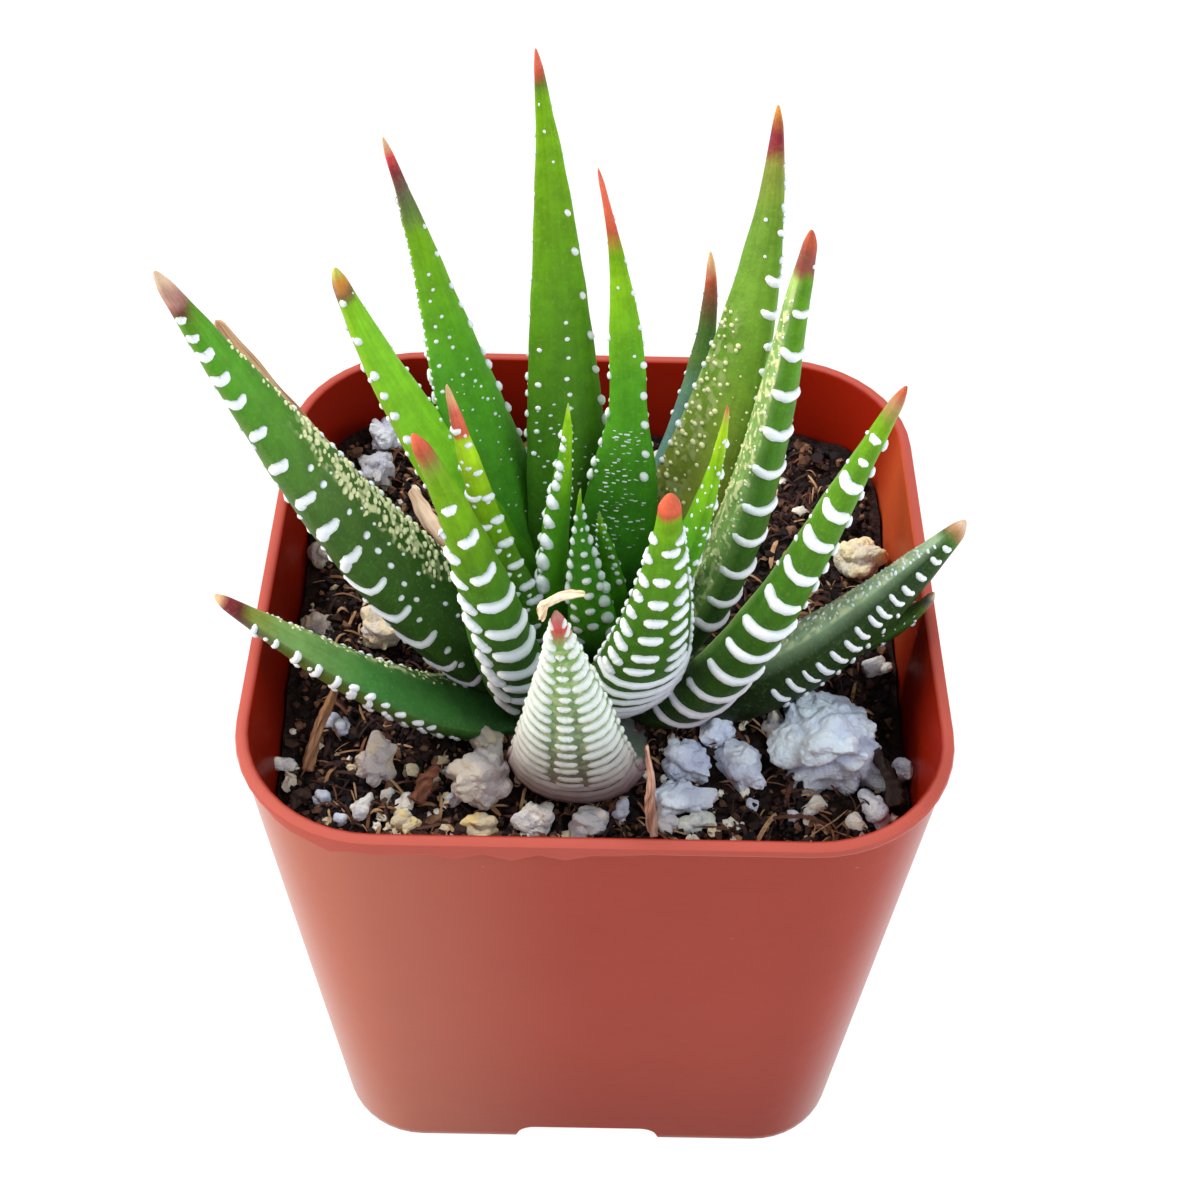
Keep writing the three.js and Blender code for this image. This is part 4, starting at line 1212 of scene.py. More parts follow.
def grow_bars(name, blade, look, beads, rng):
    """Lays every bar, bead and speck of one leaf and joins them in one mesh."""
    long_bead, round_bead, speck_bead = beads
    growth = Growth(name, blade, look, rng)
    for q0, q1, slope, first_hook, last_hook, half, places in BARS.get(name, ()):
        for thousandth in places:
            growth.bar(long_bead, thousandth / 1000, q0, q1, slope, first_hook, last_hook, half)
    for q0, q1, half0, half1, stretch, point, places in BEADS.get(name, ()):
        for number, thousandth in enumerate(places):
            t = number / max(1, len(places) - 1)
            q = q0 + (q1 - q0) * t
            growth.dot(round_bead, thousandth / 1000, q, half0 + (half1 - half0) * t, stretch, point)
    for low, high, turn, first, last, step, half, stretch in SPECKS.get(name, ()):
        for row, q in enumerate(np.arange(low, high, turn)):
            for s in np.arange(first + row % 2 * step / 2 / blade.length, last, step / blade.length):
                if rng.random() < 0.8:
                    growth.dot(
                        speck_bead, s + rng.uniform(-0.008, 0.008), q + rng.uniform(-6, 6),
                        half * rng.uniform(0.55, 1.25), stretch, 0, 0.8, True)
    plain = PLAIN_BACKS.get(name, 0)
    half = 0.26 + blade.wide * 0.02
    for i in range(plain):
        share = (i + 0.6) / plain
        s = 0.12 + 0.8 * (0.6 * share + 0.4 * share * share)
        if rng.random() < 0.35:
            growth.bar(long_bead, s, 222, 258, 0, 0.2, 0.2, half)
            growth.bar(long_bead, s - 0.01, 282, 322, 0, 0.2, 0.2, half)
        else:
            growth.bar(long_bead, s, 218, 322, 0, 0.3, 0.3, half)
        growth.dot(round_bead, s + 0.02, 338, half * 0.6, 1.2, 0)
        growth.dot(round_bead, s - 0.02, 204, half * 0.6, 1.2, 0)
    return growth.piece()


# Settings that a user would change.


def swatch_prop(name, description, code):
    return bpy.props.FloatVectorProperty(
        name=name, description=description, subtype="COLOR", size=3, min=0, max=1,
        default=tuple(float(c) for c in linear(code)))


class HaworthiaLook(bpy.types.PropertyGroup):
    pot_colour: swatch_prop("Pot", "Colour of the pot's plastic", "#984034")
    # The inside's colour is darker than the pot's, as painted shade in its hollow.
    shaded_inside_colour: swatch_prop("Pot inside", "Colour of the pot's damp inner walls", "#7e1808")
    # The lip's colour is paler than the pot's, as painted light.
    lip_colour: swatch_prop("Lip", "Colour of the thin lip, where light comes through", "#aa5248")
    pot_gloss: bpy.props.FloatProperty(
        name="Pot roughness", description="How dull the pot's plastic is", default=0.38, min=0, max=1)
    bar_scale: bpy.props.FloatProperty(
        name="Bar size", description="Size of the raised white bars", default=1.0, min=0.3, max=2)
    skin_glow: bpy.props.FloatProperty(
        name="Skin glow", description="How much light passes under the skin", default=0.08, min=0, max=1,
        subtype="FACTOR")
    crumbs: bpy.props.IntProperty(
        name="Crumbs", description="How many crumbs of peat lie on the soil", default=7500, min=0)
    fibres: bpy.props.IntProperty(
        name="Fibres", description="How many coir fibres lie on the soil", default=1900, min=0)
    grains: bpy.props.IntProperty(
        name="Grains", description="How many small perlite grains lie on the soil", default=240, min=0)
    crumb_size: bpy.props.FloatProperty(
        name="Crumb size", description="Half size of a typical crumb", default=0.25 * MM, unit="LENGTH",
        min=0.0001, max=0.005)
    key_power: bpy.props.FloatProperty(
        name="Main light", description="Power of the main light in watts", default=3.4, min=0)
    fill_power: bpy.props.FloatProperty(
        name="Fill light", description="Power of the light from the front", default=1.1, min=0)
    side_power: bpy.props.FloatProperty(
        name="Side light", description="Power of the warm light from the left", default=3.0, min=0)
    room_light: bpy.props.FloatProperty(
        name="Room light", description="Strength of the even light all round", default=0.42, min=0)


# Operators.


class HAWORTHIA_OT_pot(bpy.types.Operator):
    """Models the square nursery pot"""

    bl_idname = "haworthia.pot"
    bl_label = "Nursery pot"

    def loop(self, half, corner, z, last):
        """Adds a rounded square and bridges it to the loop before. Works in millimetres."""
        pot = bpy.context.edit_object
        bpy.ops.mesh.select_all(action="DESELECT")
        bpy.ops.mesh.primitive_plane_add(size=2 * half, location=(0, 0, z))
        bpy.ops.mesh.bevel(offset_type="OFFSET", offset=corner, segments=CORNER_CUTS, affect="VERTICES")
        bpy.ops.mesh.delete(type="ONLY_FACE")

        def new_and_straight(edge):
            return edge.is_wire and edge.verts[0].index >= last and edge.calc_length() > half * 0.5

        pick_edges(pot, new_and_straight)
        bpy.ops.mesh.select_mode(type="EDGE")
        bpy.ops.mesh.subdivide(number_cuts=SIDE_CUTS)
        bpy.ops.mesh.select_mode(type="VERT")
        total = len(bmesh.from_edit_mesh(pot.data).verts)
        ring = total - last
        if last:
            pick_verts(pot, lambda vert: vert.index >= last - ring)
            bpy.ops.mesh.bridge_edge_loops()
        return total

    def execute(self, context):
        look = context.scene.haworthia
        pot = primitive(bpy.ops.mesh.primitive_plane_add, size=1)
        edit(pot)
        bpy.ops.mesh.select_all(action="SELECT")
        bpy.ops.mesh.delete(type="VERT")
        lip = POT_HEIGHT - LIP_HIGH
        floor = FOOT_HIGH + FLOOR_THICK
        # Rings round the wall, up the outside and down the inside: how far in, and how high.
        rings = [
            (FOOT_WIDE + 0.6, FOOT_HIGH), (FOOT_WIDE + 0.2, FOOT_HIGH - 0.2), (FOOT_WIDE, 0.2),
            (FOOT_WIDE - 0.3, 0.03), (0.5, 0), (0.15, 0.15), (0, 0.5), (0, 1.3), (0, 12), (0, 24),
            (0, 36), (0, 46), (0, lip - 1.1), (0, lip - 0.3), (-0.02, lip),
            (-LIP_OUT + 0.06, lip + 0.12), (-LIP_OUT, lip + 0.3), (-LIP_OUT, POT_HEIGHT - 0.45),
            (-LIP_OUT + 0.12, POT_HEIGHT - 0.14), (0.15, POT_HEIGHT - 0.02), (WALL - 0.38, POT_HEIGHT),
            (WALL - 0.1, POT_HEIGHT - 0.12), (WALL, POT_HEIGHT - 0.4), (WALL, 50), (WALL, 44),
            (WALL, 30), (WALL, 15), (WALL, floor + 1), (WALL + 0.3, floor + 0.3), (WALL + 1, floor),
        ]
        last = 0
        for inset, z in rings:
            last = self.loop(pot_half(z) - inset, pot_corner(z) - inset, z, last)
        close_holes(pot)
        leave_edit()
        cutters = [cutter for side in range(4) for cutter in (self.notch(side), self.drain(side))]
        for cutter in cutters:
            cut = pot.modifiers.new("cut", "BOOLEAN")
            cut.operation = "DIFFERENCE"
            cut.solver = "MANIFOLD"
            cut.object = cutter
        apply_all(pot)
        for cutter in cutters:
            bpy.data.objects.remove(cutter)
        store(pot.data, "lip", np.where(spots_of(pot.data)[:, 2] > lip - 0.05, 1.0, 0.0))
        store(pot.data, "within", self.within(spots_of(pot.data)))
        self.flash(pot)
        pot.scale = (MM, MM, MM)
        apply_all(pot)
        smooth(pot, 32)
        pot.data.materials.clear()
        pot.data.materials.append(plastic_finish(look))
        settle(pot, "nursery_pot", "pot_plastic", "pot")
        return {"FINISHED"}

    def notch(self, side):
        """A shallow opening between two feet."""
        depth = FOOT_WIDE + 5
        middle = POT_BOTTOM_HALF - FOOT_WIDE - 1.5 + depth / 2
        cutter = primitive(bpy.ops.mesh.primitive_cube_add, size=1, location=(0, -middle, 0))
        edit(cutter)
        bpy.ops.transform.resize(value=(NOTCH_BASE, depth, 2 * NOTCH_HIGH))
        pick_verts(cutter, lambda vert: vert.co.z > 0)
        bpy.ops.transform.resize(value=(NOTCH_TOP / NOTCH_BASE, 1, 1))

        def upper_side(edge):
            first, last = [vert.co for vert in edge.verts]
            return min(first.z, last.z) > 0 and abs(first.x - last.x) < 0.001

        pick_edges(cutter, upper_side)
        bpy.ops.mesh.bevel(offset=NOTCH_ROUND, segments=5, affect="EDGES")
        leave_edit()
        bpy.ops.object.transform_apply(location=True, rotation=True, scale=True)
        cutter.rotation_euler.z = side * math.pi / 2
        bpy.ops.object.transform_apply(location=True, rotation=True, scale=True)
        return cutter

    def drain(self, corner):
        """A round hole through the floor."""
        angle = (corner + 0.5) * math.pi / 2
        spot = (DRAIN_OFFSET * math.cos(angle), DRAIN_OFFSET * math.sin(angle), 3)
        cutter = primitive(
            bpy.ops.mesh.primitive_cylinder_add, vertices=32, radius=DRAIN_RADIUS, depth=6, location=spot)
        bpy.ops.object.transform_apply(location=True, rotation=True, scale=True)
        return cutter

    def within(self, co):
        """1 on the inner walls and the floor's top, 0 outside."""
        half = pot_half(co[:, 2])
        corner = pot_corner(co[:, 2])
        past = np.maximum(np.abs(co[:, :2]) - (half - corner)[:, None], 0)
        inset = corner - np.hypot(past[:, 0], past[:, 1])
        return np.where((inset > WALL - 0.15) & (co[:, 2] > FOOT_HIGH + 0.5), 1.0, 0.0)

    def flash(self, pot):
        """Ragged moulding flash along the lip's lower edge, at the front left."""
        co = spots_of(pot.data)
        low = np.abs(co[:, 2] - (POT_HEIGHT - LIP_HIGH)) < 0.16
        front = np.clip((-co[:, 1] - 24) / 3, 0, 1) * np.clip((4 - co[:, 0]) / 4, 0, 1)
        wave = np.abs(np.sin(co[:, 0] * 2.3) * np.sin(co[:, 0] * 0.9 + 1))
        co[:, 2] -= np.where(low, front * wave * 0.85, 0)
        co[:, 1] -= np.where(low, front * 0.18, 0)
        place_spots(pot.data, co)


class HAWORTHIA_OT_soil(bpy.types.Operator):
    """Models the bed of peat that fills the pot"""

    bl_idname = "haworthia.soil"
    bl_label = "Peat"

    ROUND = 300
    OUTWARD = 84
    # How much of the sheet lies on top; the rest goes down the wall.
    TOP_SHARE = 0.94

    def execute(self, context):
        bed = sheet(self.ROUND, self.OUTWARD)
        flat = spots_of(bed.data)
        edge_x, edge_y = soil_edge(flat[:, 0])
        out = flat[:, 1] / self.TOP_SHARE
        share = np.clip(out, 0, 1)
        x = edge_x * share
        y = edge_y * share
        z = soil_height(x, y)
        points = np.stack([x, y, z], -1)
        rough = ripple(points, 0.4, 3) * 0.5 + ripple(points, 0.95, 8) * 0.4 + ripple(points, 2.1, 5) * 0.25
        points[:, 2] += np.where(out <= 1, rough - 0.35, 0)
        wall = np.clip((out - 1) / (1 / self.TOP_SHARE - 1), 0, 1)
        down = wall > 0
        foot = SOIL_FOOT + 0.6
        depth = points[:, 2] * (1 - wall) + foot * wall
        taper = (pot_half(depth) - WALL - SOIL_GAP) / (pot_half(SOIL_TOP) - WALL - SOIL_GAP)
        points[:, 2] = depth
        points[:, 0] = np.where(down, x * taper, points[:, 0])
        points[:, 1] = np.where(down, y * taper, points[:, 1])
        place_spots(bed.data, points * MM)
        close_up(bed, 0.001 * MM)
        edit(bed)
        bpy.ops.mesh.select_all(action="DESELECT")
        close_holes(bed)
        leave_edit()
        smooth(bed, 50)
        bed.data.materials.append(peat_finish("peat", "#120b0c", "#3a2620", 0.9))
        settle(bed, "peat_bed", "peat", "soil")
        return {"FINISHED"}


def soil_edge(turn):
    """The soil's rounded-square edge, by share of the way round."""
    half = pot_half(SOIL_TOP) - WALL - SOIL_GAP
    corner = pot_corner(SOIL_TOP) - WALL - SOIL_GAP
    straight = 2 * (half - corner)
    arc = math.pi / 2 * corner
    quarter = straight + arc
    run = (np.asarray(turn) % 1) * 4 * quarter
    side = np.floor(run / quarter).astype(int) % 4
    here = run - np.floor(run / quarter) * quarter
    on_side = here < straight
    angle = (here - straight) / corner
    x = np.where(on_side, half, half - corner + corner * np.cos(angle))
    y = np.where(on_side, here - (half - corner), half - corner + corner * np.sin(angle))
    cos = np.array([1, 0, -1, 0])[side]
    sin = np.array([0, 1, 0, -1])[side]
    return x * cos - y * sin, x * sin + y * cos


def on_a_lump(x, y):
    """Whether a place is under one of the large lumps."""
    for spot, half, *_ in STONES.values():
        if math.hypot(x - spot[0], y - spot[1]) < 0.85 * max(half[:2]):
            return True
    return False


def soil_spots(count, rng, clear):
    """Random places on the soil, this far from its edge and clear of the large lumps."""
    half = pot_half(SOIL_TOP) - WALL - SOIL_GAP - clear
    corner = pot_corner(SOIL_TOP) - WALL - SOIL_GAP
    spots = []
    while len(spots) < count:
        x = rng.uniform(-half, half)
        y = rng.uniform(-half, half)
        dx = max(0, abs(x) - (half - corner))
        dy = max(0, abs(y) - (half - corner))
        if math.hypot(dx, dy) > corner or math.hypot(x - HEART[0], y - HEART[1]) < 5 or on_a_lump(x, y):
            continue
        spots.append((x, y))
    return spots


def scatter(name, template, spots, rng, half, colours, sink, squash):
    """Copies one modelled lump over the soil, each copy turned and sized, in one mesh."""
    co = spots_of(template.data)
    faces = [tuple(face.vertices) for face in template.data.polygons]
    bpy.data.objects.remove(template)
    all_spots = []
    all_faces = []
    tones = []
    for number, (x, y) in enumerate(spots):
        size = half * math.exp(rng.gauss(0, 0.34))
        shape = np.array([rng.uniform(0.7, 1.3), rng.uniform(0.7, 1.3), rng.uniform(0.6, 1.0) * squash])
        turn = np.array(Matrix.Rotation(rng.uniform(0, math.tau), 3, "Z")
                        @ Matrix.Rotation(rng.uniform(-0.5, 0.5), 3, "X"))
        jag = 1 + np.array([rng.uniform(-0.42, 0.42) for _ in co])[:, None]
        lump = (co * jag * shape * size) @ turn.T
        lift = float(soil_height(x, y)) + size * squash * (1 - sink)
        all_spots.append(lump + (x, y, lift))
        all_faces.extend(tuple(v + number * len(co) for v in face) for face in faces)
        tone = linear(rng.choice(colours)) * rng.uniform(0.8, 1.15)
        tones.append(np.tile(tone, (len(co), 1)))
    return piece_of(name, all_spots, all_faces, tones)


class HAWORTHIA_OT_crumbs(bpy.types.Operator):
    """Strews crumbs, fibres and small perlite grains over the soil"""

    bl_idname = "haworthia.crumbs"
    bl_label = "Crumbs and fibres"

    def execute(self, context):
        look = context.scene.haworthia
        rng = random.Random(11)
        ball = primitive(bpy.ops.mesh.primitive_ico_sphere_add, subdivisions=1, radius=1)
        crumb = scatter(
            "peat_crumbs", ball, soil_spots(look.crumbs, rng, 0.8), rng, look.crumb_size / MM, CRUMB_TONES,
            0.2, 0.9)
        smooth(crumb, 30)
        crumb.data.materials.append(tinted_finish("peat_crumb", 0.5, 0.12, "#1a100c"))
        settle(crumb, "peat_crumbs", "peat")
        ball = primitive(bpy.ops.mesh.primitive_ico_sphere_add, subdivisions=2, radius=1)
        spots = [(x, y) for x, y in soil_spots(look.grains * 2, rng, 0.8)
                 if rng.random() < (0.9 if y < -12 else 0.3)]
        grain = scatter("perlite_grains", ball, spots, rng, GRAIN_HALF, GRAIN_TONES, 0.2, 0.9)
        smooth(grain, 40)
        grain.data.materials.append(tinted_finish("perlite_grain", 0.4, 0.08, "#b9a78c"))
        settle(grain, "perlite_grains", "perlite")
        fibre = self.fibres(look, rng)
        fibre.data.materials.append(tinted_finish("coir", 0.6, 0.06, "#4a3020"))
        settle(fibre, "coir_fibres", "peat")
        return {"FINISHED"}

    def fibres(self, look, rng):
        """Thin bent fibres and a few flat shreds, each a small closed tube."""
        stops = 7
        sides = 4
        spots = []
        faces = []
        tones = []
        for number, (x, y) in enumerate(soil_spots(look.fibres, rng, 3.0)):
            long = rng.uniform(1.0, 3.6) * (2.0 if rng.random() < 0.1 else 1)
            heading = rng.uniform(0, math.tau)
            curl = rng.uniform(-0.6, 0.6)
            thin = rng.uniform(0.03, 0.08)
            flat = rng.uniform(1.0, 3.0)
            arch = rng.uniform(0.0, 0.8)
            tone = linear(rng.choice(FIBRE_TONES))
            tip = np.array([x, y])
            for i in range(stops):
                t = i / (stops - 1)
                angle = heading + curl * (t - 0.5)
                tip = tip + np.array([math.cos(angle), math.sin(angle)]) * long / stops
                reach = pot_half(SOIL_TOP) - WALL - 1
                px, py = np.clip(tip, -reach, reach)
                high = float(soil_height(px, py)) + 0.25 + arch * math.sin(math.pi * t)
                across = np.array([-math.sin(angle), math.cos(angle), 0]) * thin * flat
                up = np.array([0, 0, thin])
                close = 0.25 if i in (0, stops - 1) else 1
                for side in range(sides):
                    a = side * math.tau / sides
                    out = across * math.cos(a) + up * math.sin(a)
                    spots.append(np.array([px, py, high]) + out * close)
                    tones.append(tone)
            base = number * stops * sides
            for i in range(stops - 1):
                for side in range(sides):
                    a = base + i * sides + side
                    b = base + i * sides + (side + 1) % sides
                    faces.append((a, b, b + sides, a + sides))
            faces.append(tuple(base + side for side in reversed(range(sides))))
            faces.append(tuple(base + (stops - 1) * sides + side for side in range(sides)))
        piece = piece_of("coir_fibres", [spots], faces, [tones])
        close_up(piece, 1e-7)
        smooth(piece, 50)
        return piece


class HAWORTHIA_OT_stem(bpy.types.Operator):
    """Models the short stem in the heart"""

    bl_idname = "haworthia.stem"
    bl_label = "Stem"

    def execute(self, context):
        stem = primitive(
            bpy.ops.mesh.primitive_cylinder_add, vertices=40, radius=STEM_RADIUS * MM, depth=STEM_LONG * MM,
            location=(HEART[0] * MM, HEART[1] * MM, STEM_MIDDLE * MM))
        edit(stem)
        bpy.ops.mesh.select_all(action="SELECT")
        bpy.ops.mesh.bevel(offset=0.6 * MM, segments=4, affect="EDGES")
        leave_edit()
        apply_all(stem)
        paint(stem.data, linear("#8f9a63"))
        smooth(stem, 50)
        stem.data.materials.append(tinted_finish("stem_skin", 0.8, 0.1, "#5d6a38"))
        settle(stem, "short_stem", "stem_skin", "stem")
        return {"FINISHED"}


class HAWORTHIA_OT_leaves(bpy.types.Operator):
    """Grows every leaf with its bars"""

    bl_idname = "haworthia.leaves"
    bl_label = "Leaves"

    def execute(self, context):
        look = context.scene.haworthia
        skin = skin_finish(look)
        bar = bar_finish(look)
        beads = (Bead(8, 12), Bead(8, 7), Bead(6, 5))
        for number, name in enumerate(LEAVES):
            rng = random.Random(100 + number)
            blade = Blade(name)
            flesh = grow_flesh(name, blade, rng)
            flesh.data.materials.append(skin)
            bars = grow_bars(name, blade, look, beads, rng)
            bars.data.materials.append(bar)
            join([flesh, bars])
            settle(flesh, name + "_grown", "leaf_skin", name)
        return {"FINISHED"}


class HAWORTHIA_OT_dry_bits(bpy.types.Operator):
    """Models the withered leaves and the loose scraps of wood and bark"""

    bl_idname = "haworthia.dry_bits"
    bl_label = "Dry bits"

    # The way that the strips' flat sides face.
    SIDEWAYS = (0.25, 1, 0.1)

    def strip(self, number, thick, path):
        """A curled strip along a path of points with its half width at each."""
        piece = sheet(20, 60)
        flat = spots_of(piece.data)
        knots = np.array(path, float)
        run = run_of(knots[:, :3])
        t = np.linspace(0, 1, 97)
        mid = between(t, run / run[-1], knots)
        soft = np.ones(17) / 17
        padded = np.concatenate([np.repeat(mid[:1], 8, 0), mid, np.repeat(mid[-1:], 8, 0)])
        mid = np.stack([np.convolve(padded[:, i], soft, "valid") for i in range(4)], -1)
        along = unit(np.gradient(mid[:, :3], axis=0))
        side = unit(np.cross(along, self.SIDEWAYS))
        up = np.cross(side, along)
        place = flat[:, 1]
        angle = flat[:, 0] * math.tau
        close = np.sqrt(np.clip(place / 0.03, 0, 1)) * np.sqrt(np.clip((1 - place) / 0.03, 0, 1))
        twist = 0.9 * np.sin(place * 4.5 + number)
        ragged = 1 + 0.14 * np.sin(place * 31 + number) * np.sin(place * 17)
        half = np.interp(place, t, mid[:, 3]) * close * ragged * 0.95
        curl = 0.35 * (np.cos(angle) ** 2) * half
        x = np.cos(angle) * half
        y = np.sin(angle) * thick * 0.4 * close + curl
        y = y + 0.12 * np.sin(angle * 4 + place * 14) * close
        dx = x * np.cos(twist) - y * np.sin(twist)
        dy = x * np.sin(twist) + y * np.cos(twist)
        points = between(place, t, mid[:, :3])
        points = points + between(place, t, side) * dx[:, None] + between(place, t, up) * dy[:, None]
        place_spots(piece.data, points * MM)
        close_up(piece, 0.001 * MM)
        smooth(piece, 60)
        return piece

    def execute(self, context):
        for number, (name, (thick, fresh, worn, path)) in enumerate(DRY.items()):
            piece = self.strip(number, thick, path)
            piece.data.materials.append(dry_finish(name + "_finish", fresh, worn))
            settle(piece, name + "_curled", DRY_SLOTS[name], name)
        shred = self.strip(3, 0.5, SHRED)
        shred.data.materials.append(dry_finish("shred_finish", "#f6e8cc", "#dab48e"))
        settle(shred, "leaf_09_shred", "dried_leaf")
        return {"FINISHED"}


class HAWORTHIA_OT_perlite(bpy.types.Operator):
    """Models the popcorn-like lumps of perlite"""

    bl_idname = "haworthia.perlite"
    bl_label = "Perlite lumps"

    # The half size from which a lump has more lobes and a coarser skin.
    BIG = 3.5

    def lump(self, number, half, count, voxel):
        """A lump of many round lobes, about its own middle, in millimetres."""
        rng = random.Random(300 + number)
        balls = []
        for i in range(count):
            lean = rng.uniform(0, math.tau)
            high = rng.uniform(-0.7, 1)
            flat = math.sqrt(1 - min(1, high * high))
            size = 0.78 if i == 0 else rng.uniform(0.25, 0.5)
            reach = 0.0 if i == 0 else rng.uniform(0.95, 1.1) - size
            balls.append(primitive(
                bpy.ops.mesh.primitive_ico_sphere_add, subdivisions=3, radius=size,
                location=(reach * flat * math.cos(lean), reach * flat * math.sin(lean), reach * high)))
        stone = join(balls)
        only(stone)
        bpy.ops.object.transform_apply(location=True, rotation=True, scale=True)
        place_spots(stone.data, spots_of(stone.data) * np.array(half) * MM)
        remesh = stone.modifiers.new("one skin", "REMESH")
        remesh.mode = "VOXEL"
        remesh.voxel_size = voxel * MM
        apply_all(stone)
        co = spots_of(stone.data) / MM
        lobes = np.abs(ripple(co, 0.62, number + 2))
        knobs = np.abs(ripple(co, 1.5, number + 9))
        bumps = 1.4 * lobes + 0.38 * knobs - 0.34
        depth = np.linalg.norm(co / np.array(half), axis=1)
        co = co / np.array(half)
        for _ in range(9):
            way = np.array([rng.gauss(0, 1) for _ in range(3)])
            way /= np.linalg.norm(way)
            past = np.clip(co @ way - rng.uniform(0.55, 0.88), 0, 1)
            co = co - 0.8 * past[:, None] * way
        if number == 0:
            cleft = np.exp(-((co @ CLEFT_WAY + 0.1 + 0.12 * ripple(co, 2.0, 4)) / 0.07) ** 2)
            depth = depth - 0.4 * cleft
            co = co * (1 - 0.16 * cleft)[:, None]
        bumps += 0.07 * ripple(co * half, 3.4, number + 5)
        co = co * half * (1.1 + bumps / np.mean(half))[:, None]
        place_spots(stone.data, co)
        # The creases between lobes and the parts that lie inward are stored to be painted lavender, as
        # painted shade.
        crease = 0.6 * np.exp(-((lobes / 0.05) ** 2)) + 0.25 * np.exp(-((knobs / 0.04) ** 2))
        store(stone.data, "fold", np.clip((0.86 - depth) / 0.16 + crease, 0, 1))
        return stone

    def lay(self, stone, spot, half, turn, code):
        """Turns a lump and sets it into the soil."""
        co = spots_of(stone.data)
        angle = math.radians(turn)
        x = co[:, 0] * math.cos(angle) - co[:, 1] * math.sin(angle) + spot[0]
        y = co[:, 0] * math.sin(angle) + co[:, 1] * math.cos(angle) + spot[1]
        z = co[:, 2] + float(soil_height(*spot)) + half[2] * STONE_SINK
        place_spots(stone.data, np.stack([x, y, z], -1) * MM)
        paint(stone.data, linear(code))
        smooth(stone)

    def execute(self, context):
        finish = perlite_finish()
        for number, (name, (spot, half, turn, code)) in enumerate(STONES.items()):
            big = max(half) > self.BIG
            stone = self.lump(number, half, 12 if big else 8, 0.17 if big else 0.13)
            self.lay(stone, spot, half, turn, code)
            stone.data.materials.append(finish)
            settle(stone, name + "_lump", "perlite", name)
        grits = []
        for number, (x, y, across, along) in enumerate(GRITS):
            half = (across, along, 0.8 * min(across, along) + 0.2)
            grit = self.lump(100 + number, half, 7, 0.14)
            self.lay(grit, (x, y), half, 37 * number, GRIT_TONES[number % len(GRIT_TONES)])
            grits.append(grit)
        grit = join(grits)
        grit.data.materials.append(finish)
        settle(grit, "perlite_grit", "perlite")
        return {"FINISHED"}


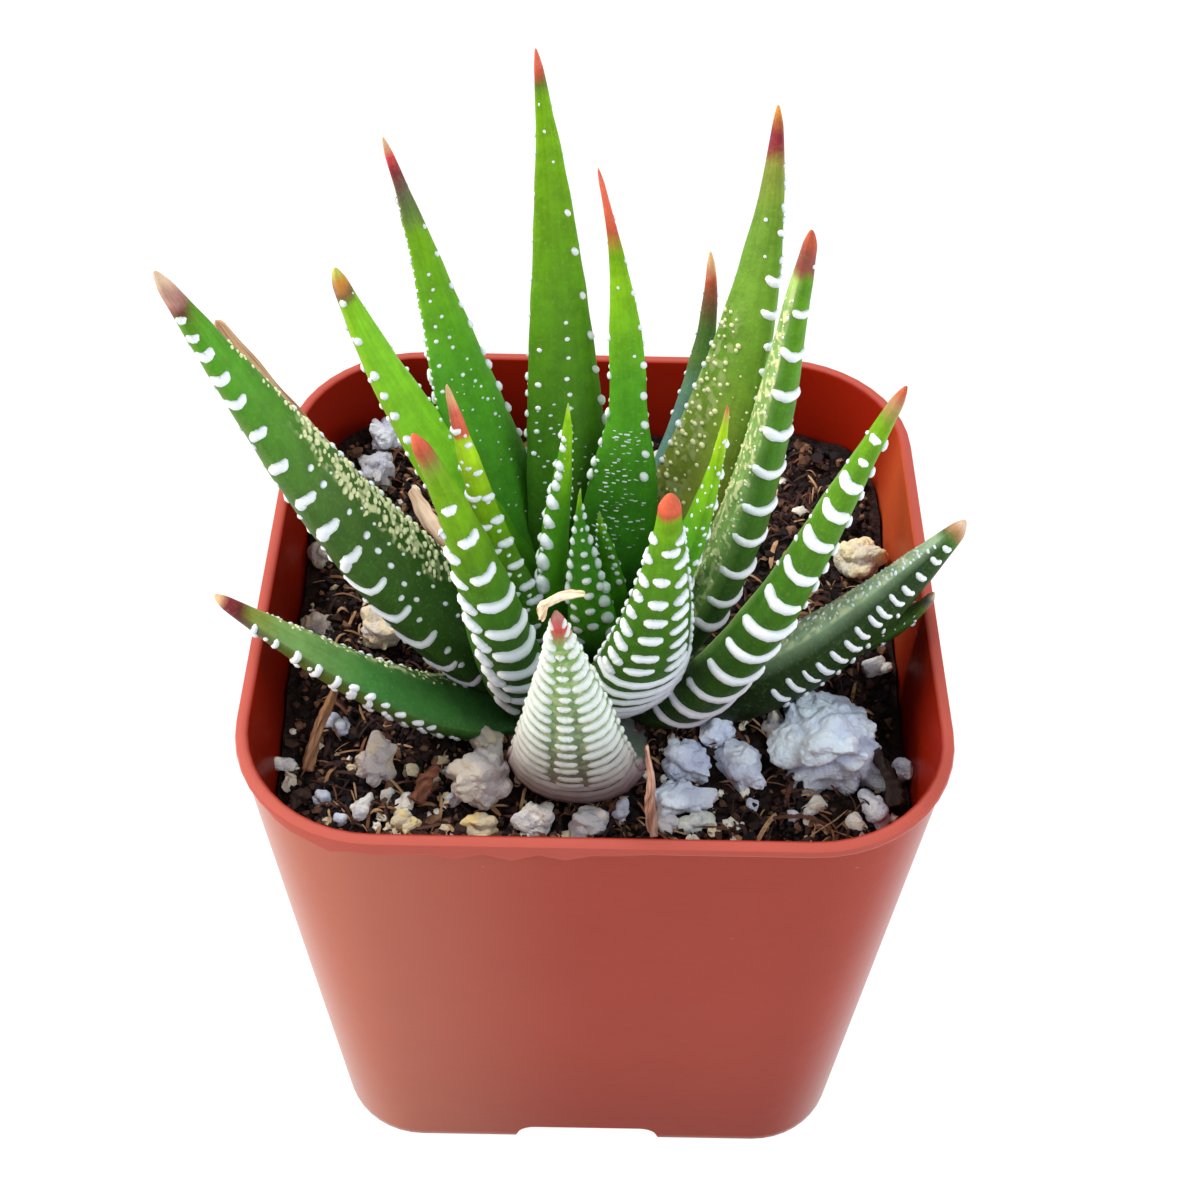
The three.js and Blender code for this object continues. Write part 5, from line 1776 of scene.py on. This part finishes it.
class HAWORTHIA_OT_stage(bpy.types.Operator):
    """Sets the floor, the light and the camera"""

    bl_idname = "haworthia.stage"
    bl_label = "Stage"

    def area(self, name, spot, size, power, colour):
        light = bpy.data.lights.new(name, "AREA")
        light.shape = "DISK"
        light.size = size
        light.energy = power
        light.color = colour
        lamp = bpy.data.objects.new(name, light)
        lamp.location = spot
        aim = Vector((0, 0, LIGHT_AIM)) - Vector(spot)
        lamp.rotation_euler = aim.to_track_quat("-Z", "Y").to_euler()
        bpy.context.collection.objects.link(lamp)

    def execute(self, context):
        look = context.scene.haworthia
        floor = primitive(bpy.ops.mesh.primitive_plane_add, size=4)
        floor.name = "floor"
        paper = Finish("floor_paper")
        paper.finish(
            Base_Color=np.array([0.12, 0.12, 0.12]), Roughness=0.9, Specular_IOR_Level=0.0,
            Emission_Color=np.array([1.0, 1.0, 1.0]), Emission_Strength=0.94)
        floor.data.materials.append(paper.material)
        world = bpy.data.worlds.new("studio")
        world.use_nodes = True
        world.node_tree.nodes["Background"].inputs["Color"].default_value = (1, 1, 1, 1)
        world.node_tree.nodes["Background"].inputs["Strength"].default_value = look.room_light
        context.scene.world = world
        for name, spot, size, setting, share, colour in LIGHTS:
            self.area(name, spot, size, getattr(look, setting) * share, colour)
        azimuth = math.radians(CAMERA_AZIMUTH)
        rise = math.radians(CAMERA_ELEVATION)
        roll = math.radians(CAMERA_ROLL)
        back = Vector((
            math.sin(azimuth) * math.cos(rise), -math.cos(azimuth) * math.cos(rise), math.sin(rise)))
        right = Vector((math.cos(azimuth), math.sin(azimuth), 0))
        up = back.cross(right)
        turned = math.cos(roll) * right + math.sin(roll) * up
        upright = -math.sin(roll) * right + math.cos(roll) * up
        eye = bpy.data.cameras.new("photo_camera")
        eye.sensor_width = SENSOR
        eye.lens = CAMERA_LENS
        eye.clip_start = 0.01
        camera = bpy.data.objects.new("photo_camera", eye)
        spot = (Vector(CAMERA_AIM) + back * CAMERA_DISTANCE) * MM
        facing = Matrix((turned, upright, back)).transposed().to_4x4()
        camera.matrix_world = Matrix.Translation(spot) @ facing
        context.collection.objects.link(camera)
        context.scene.camera = camera
        context.scene.view_settings.view_transform = "Standard"
        return {"FINISHED"}


class HAWORTHIA_PT_panel(bpy.types.Panel):
    """Lists the steps that build the plant"""

    bl_idname = "HAWORTHIA_PT_panel"
    bl_label = "Haworthia"
    bl_space_type = "VIEW_3D"
    bl_region_type = "UI"
    bl_category = "Haworthia"

    def draw(self, context):
        look = context.scene.haworthia
        for name in HaworthiaLook.__annotations__:
            self.layout.prop(look, name)
        for step in STEPS:
            self.layout.operator(step.bl_idname)


STEPS = (
    HAWORTHIA_OT_pot,
    HAWORTHIA_OT_soil,
    HAWORTHIA_OT_crumbs,
    HAWORTHIA_OT_stem,
    HAWORTHIA_OT_leaves,
    HAWORTHIA_OT_dry_bits,
    HAWORTHIA_OT_perlite,
    HAWORTHIA_OT_stage,
)
CLASSES = (HaworthiaLook, *STEPS, HAWORTHIA_PT_panel)


def register():
    for cls in CLASSES:
        bpy.utils.register_class(cls)
    bpy.types.Scene.haworthia = bpy.props.PointerProperty(type=HaworthiaLook)


def unregister():
    del bpy.types.Scene.haworthia
    for cls in reversed(CLASSES):
        bpy.utils.unregister_class(cls)


def main():
    register()
    bpy.ops.haworthia.pot()
    bpy.ops.haworthia.soil()
    bpy.ops.haworthia.crumbs()
    bpy.ops.haworthia.stem()
    bpy.ops.haworthia.leaves()
    bpy.ops.haworthia.dry_bits()
    bpy.ops.haworthia.perlite()
    bpy.ops.haworthia.stage()


if __name__ == "__main__":
    main()
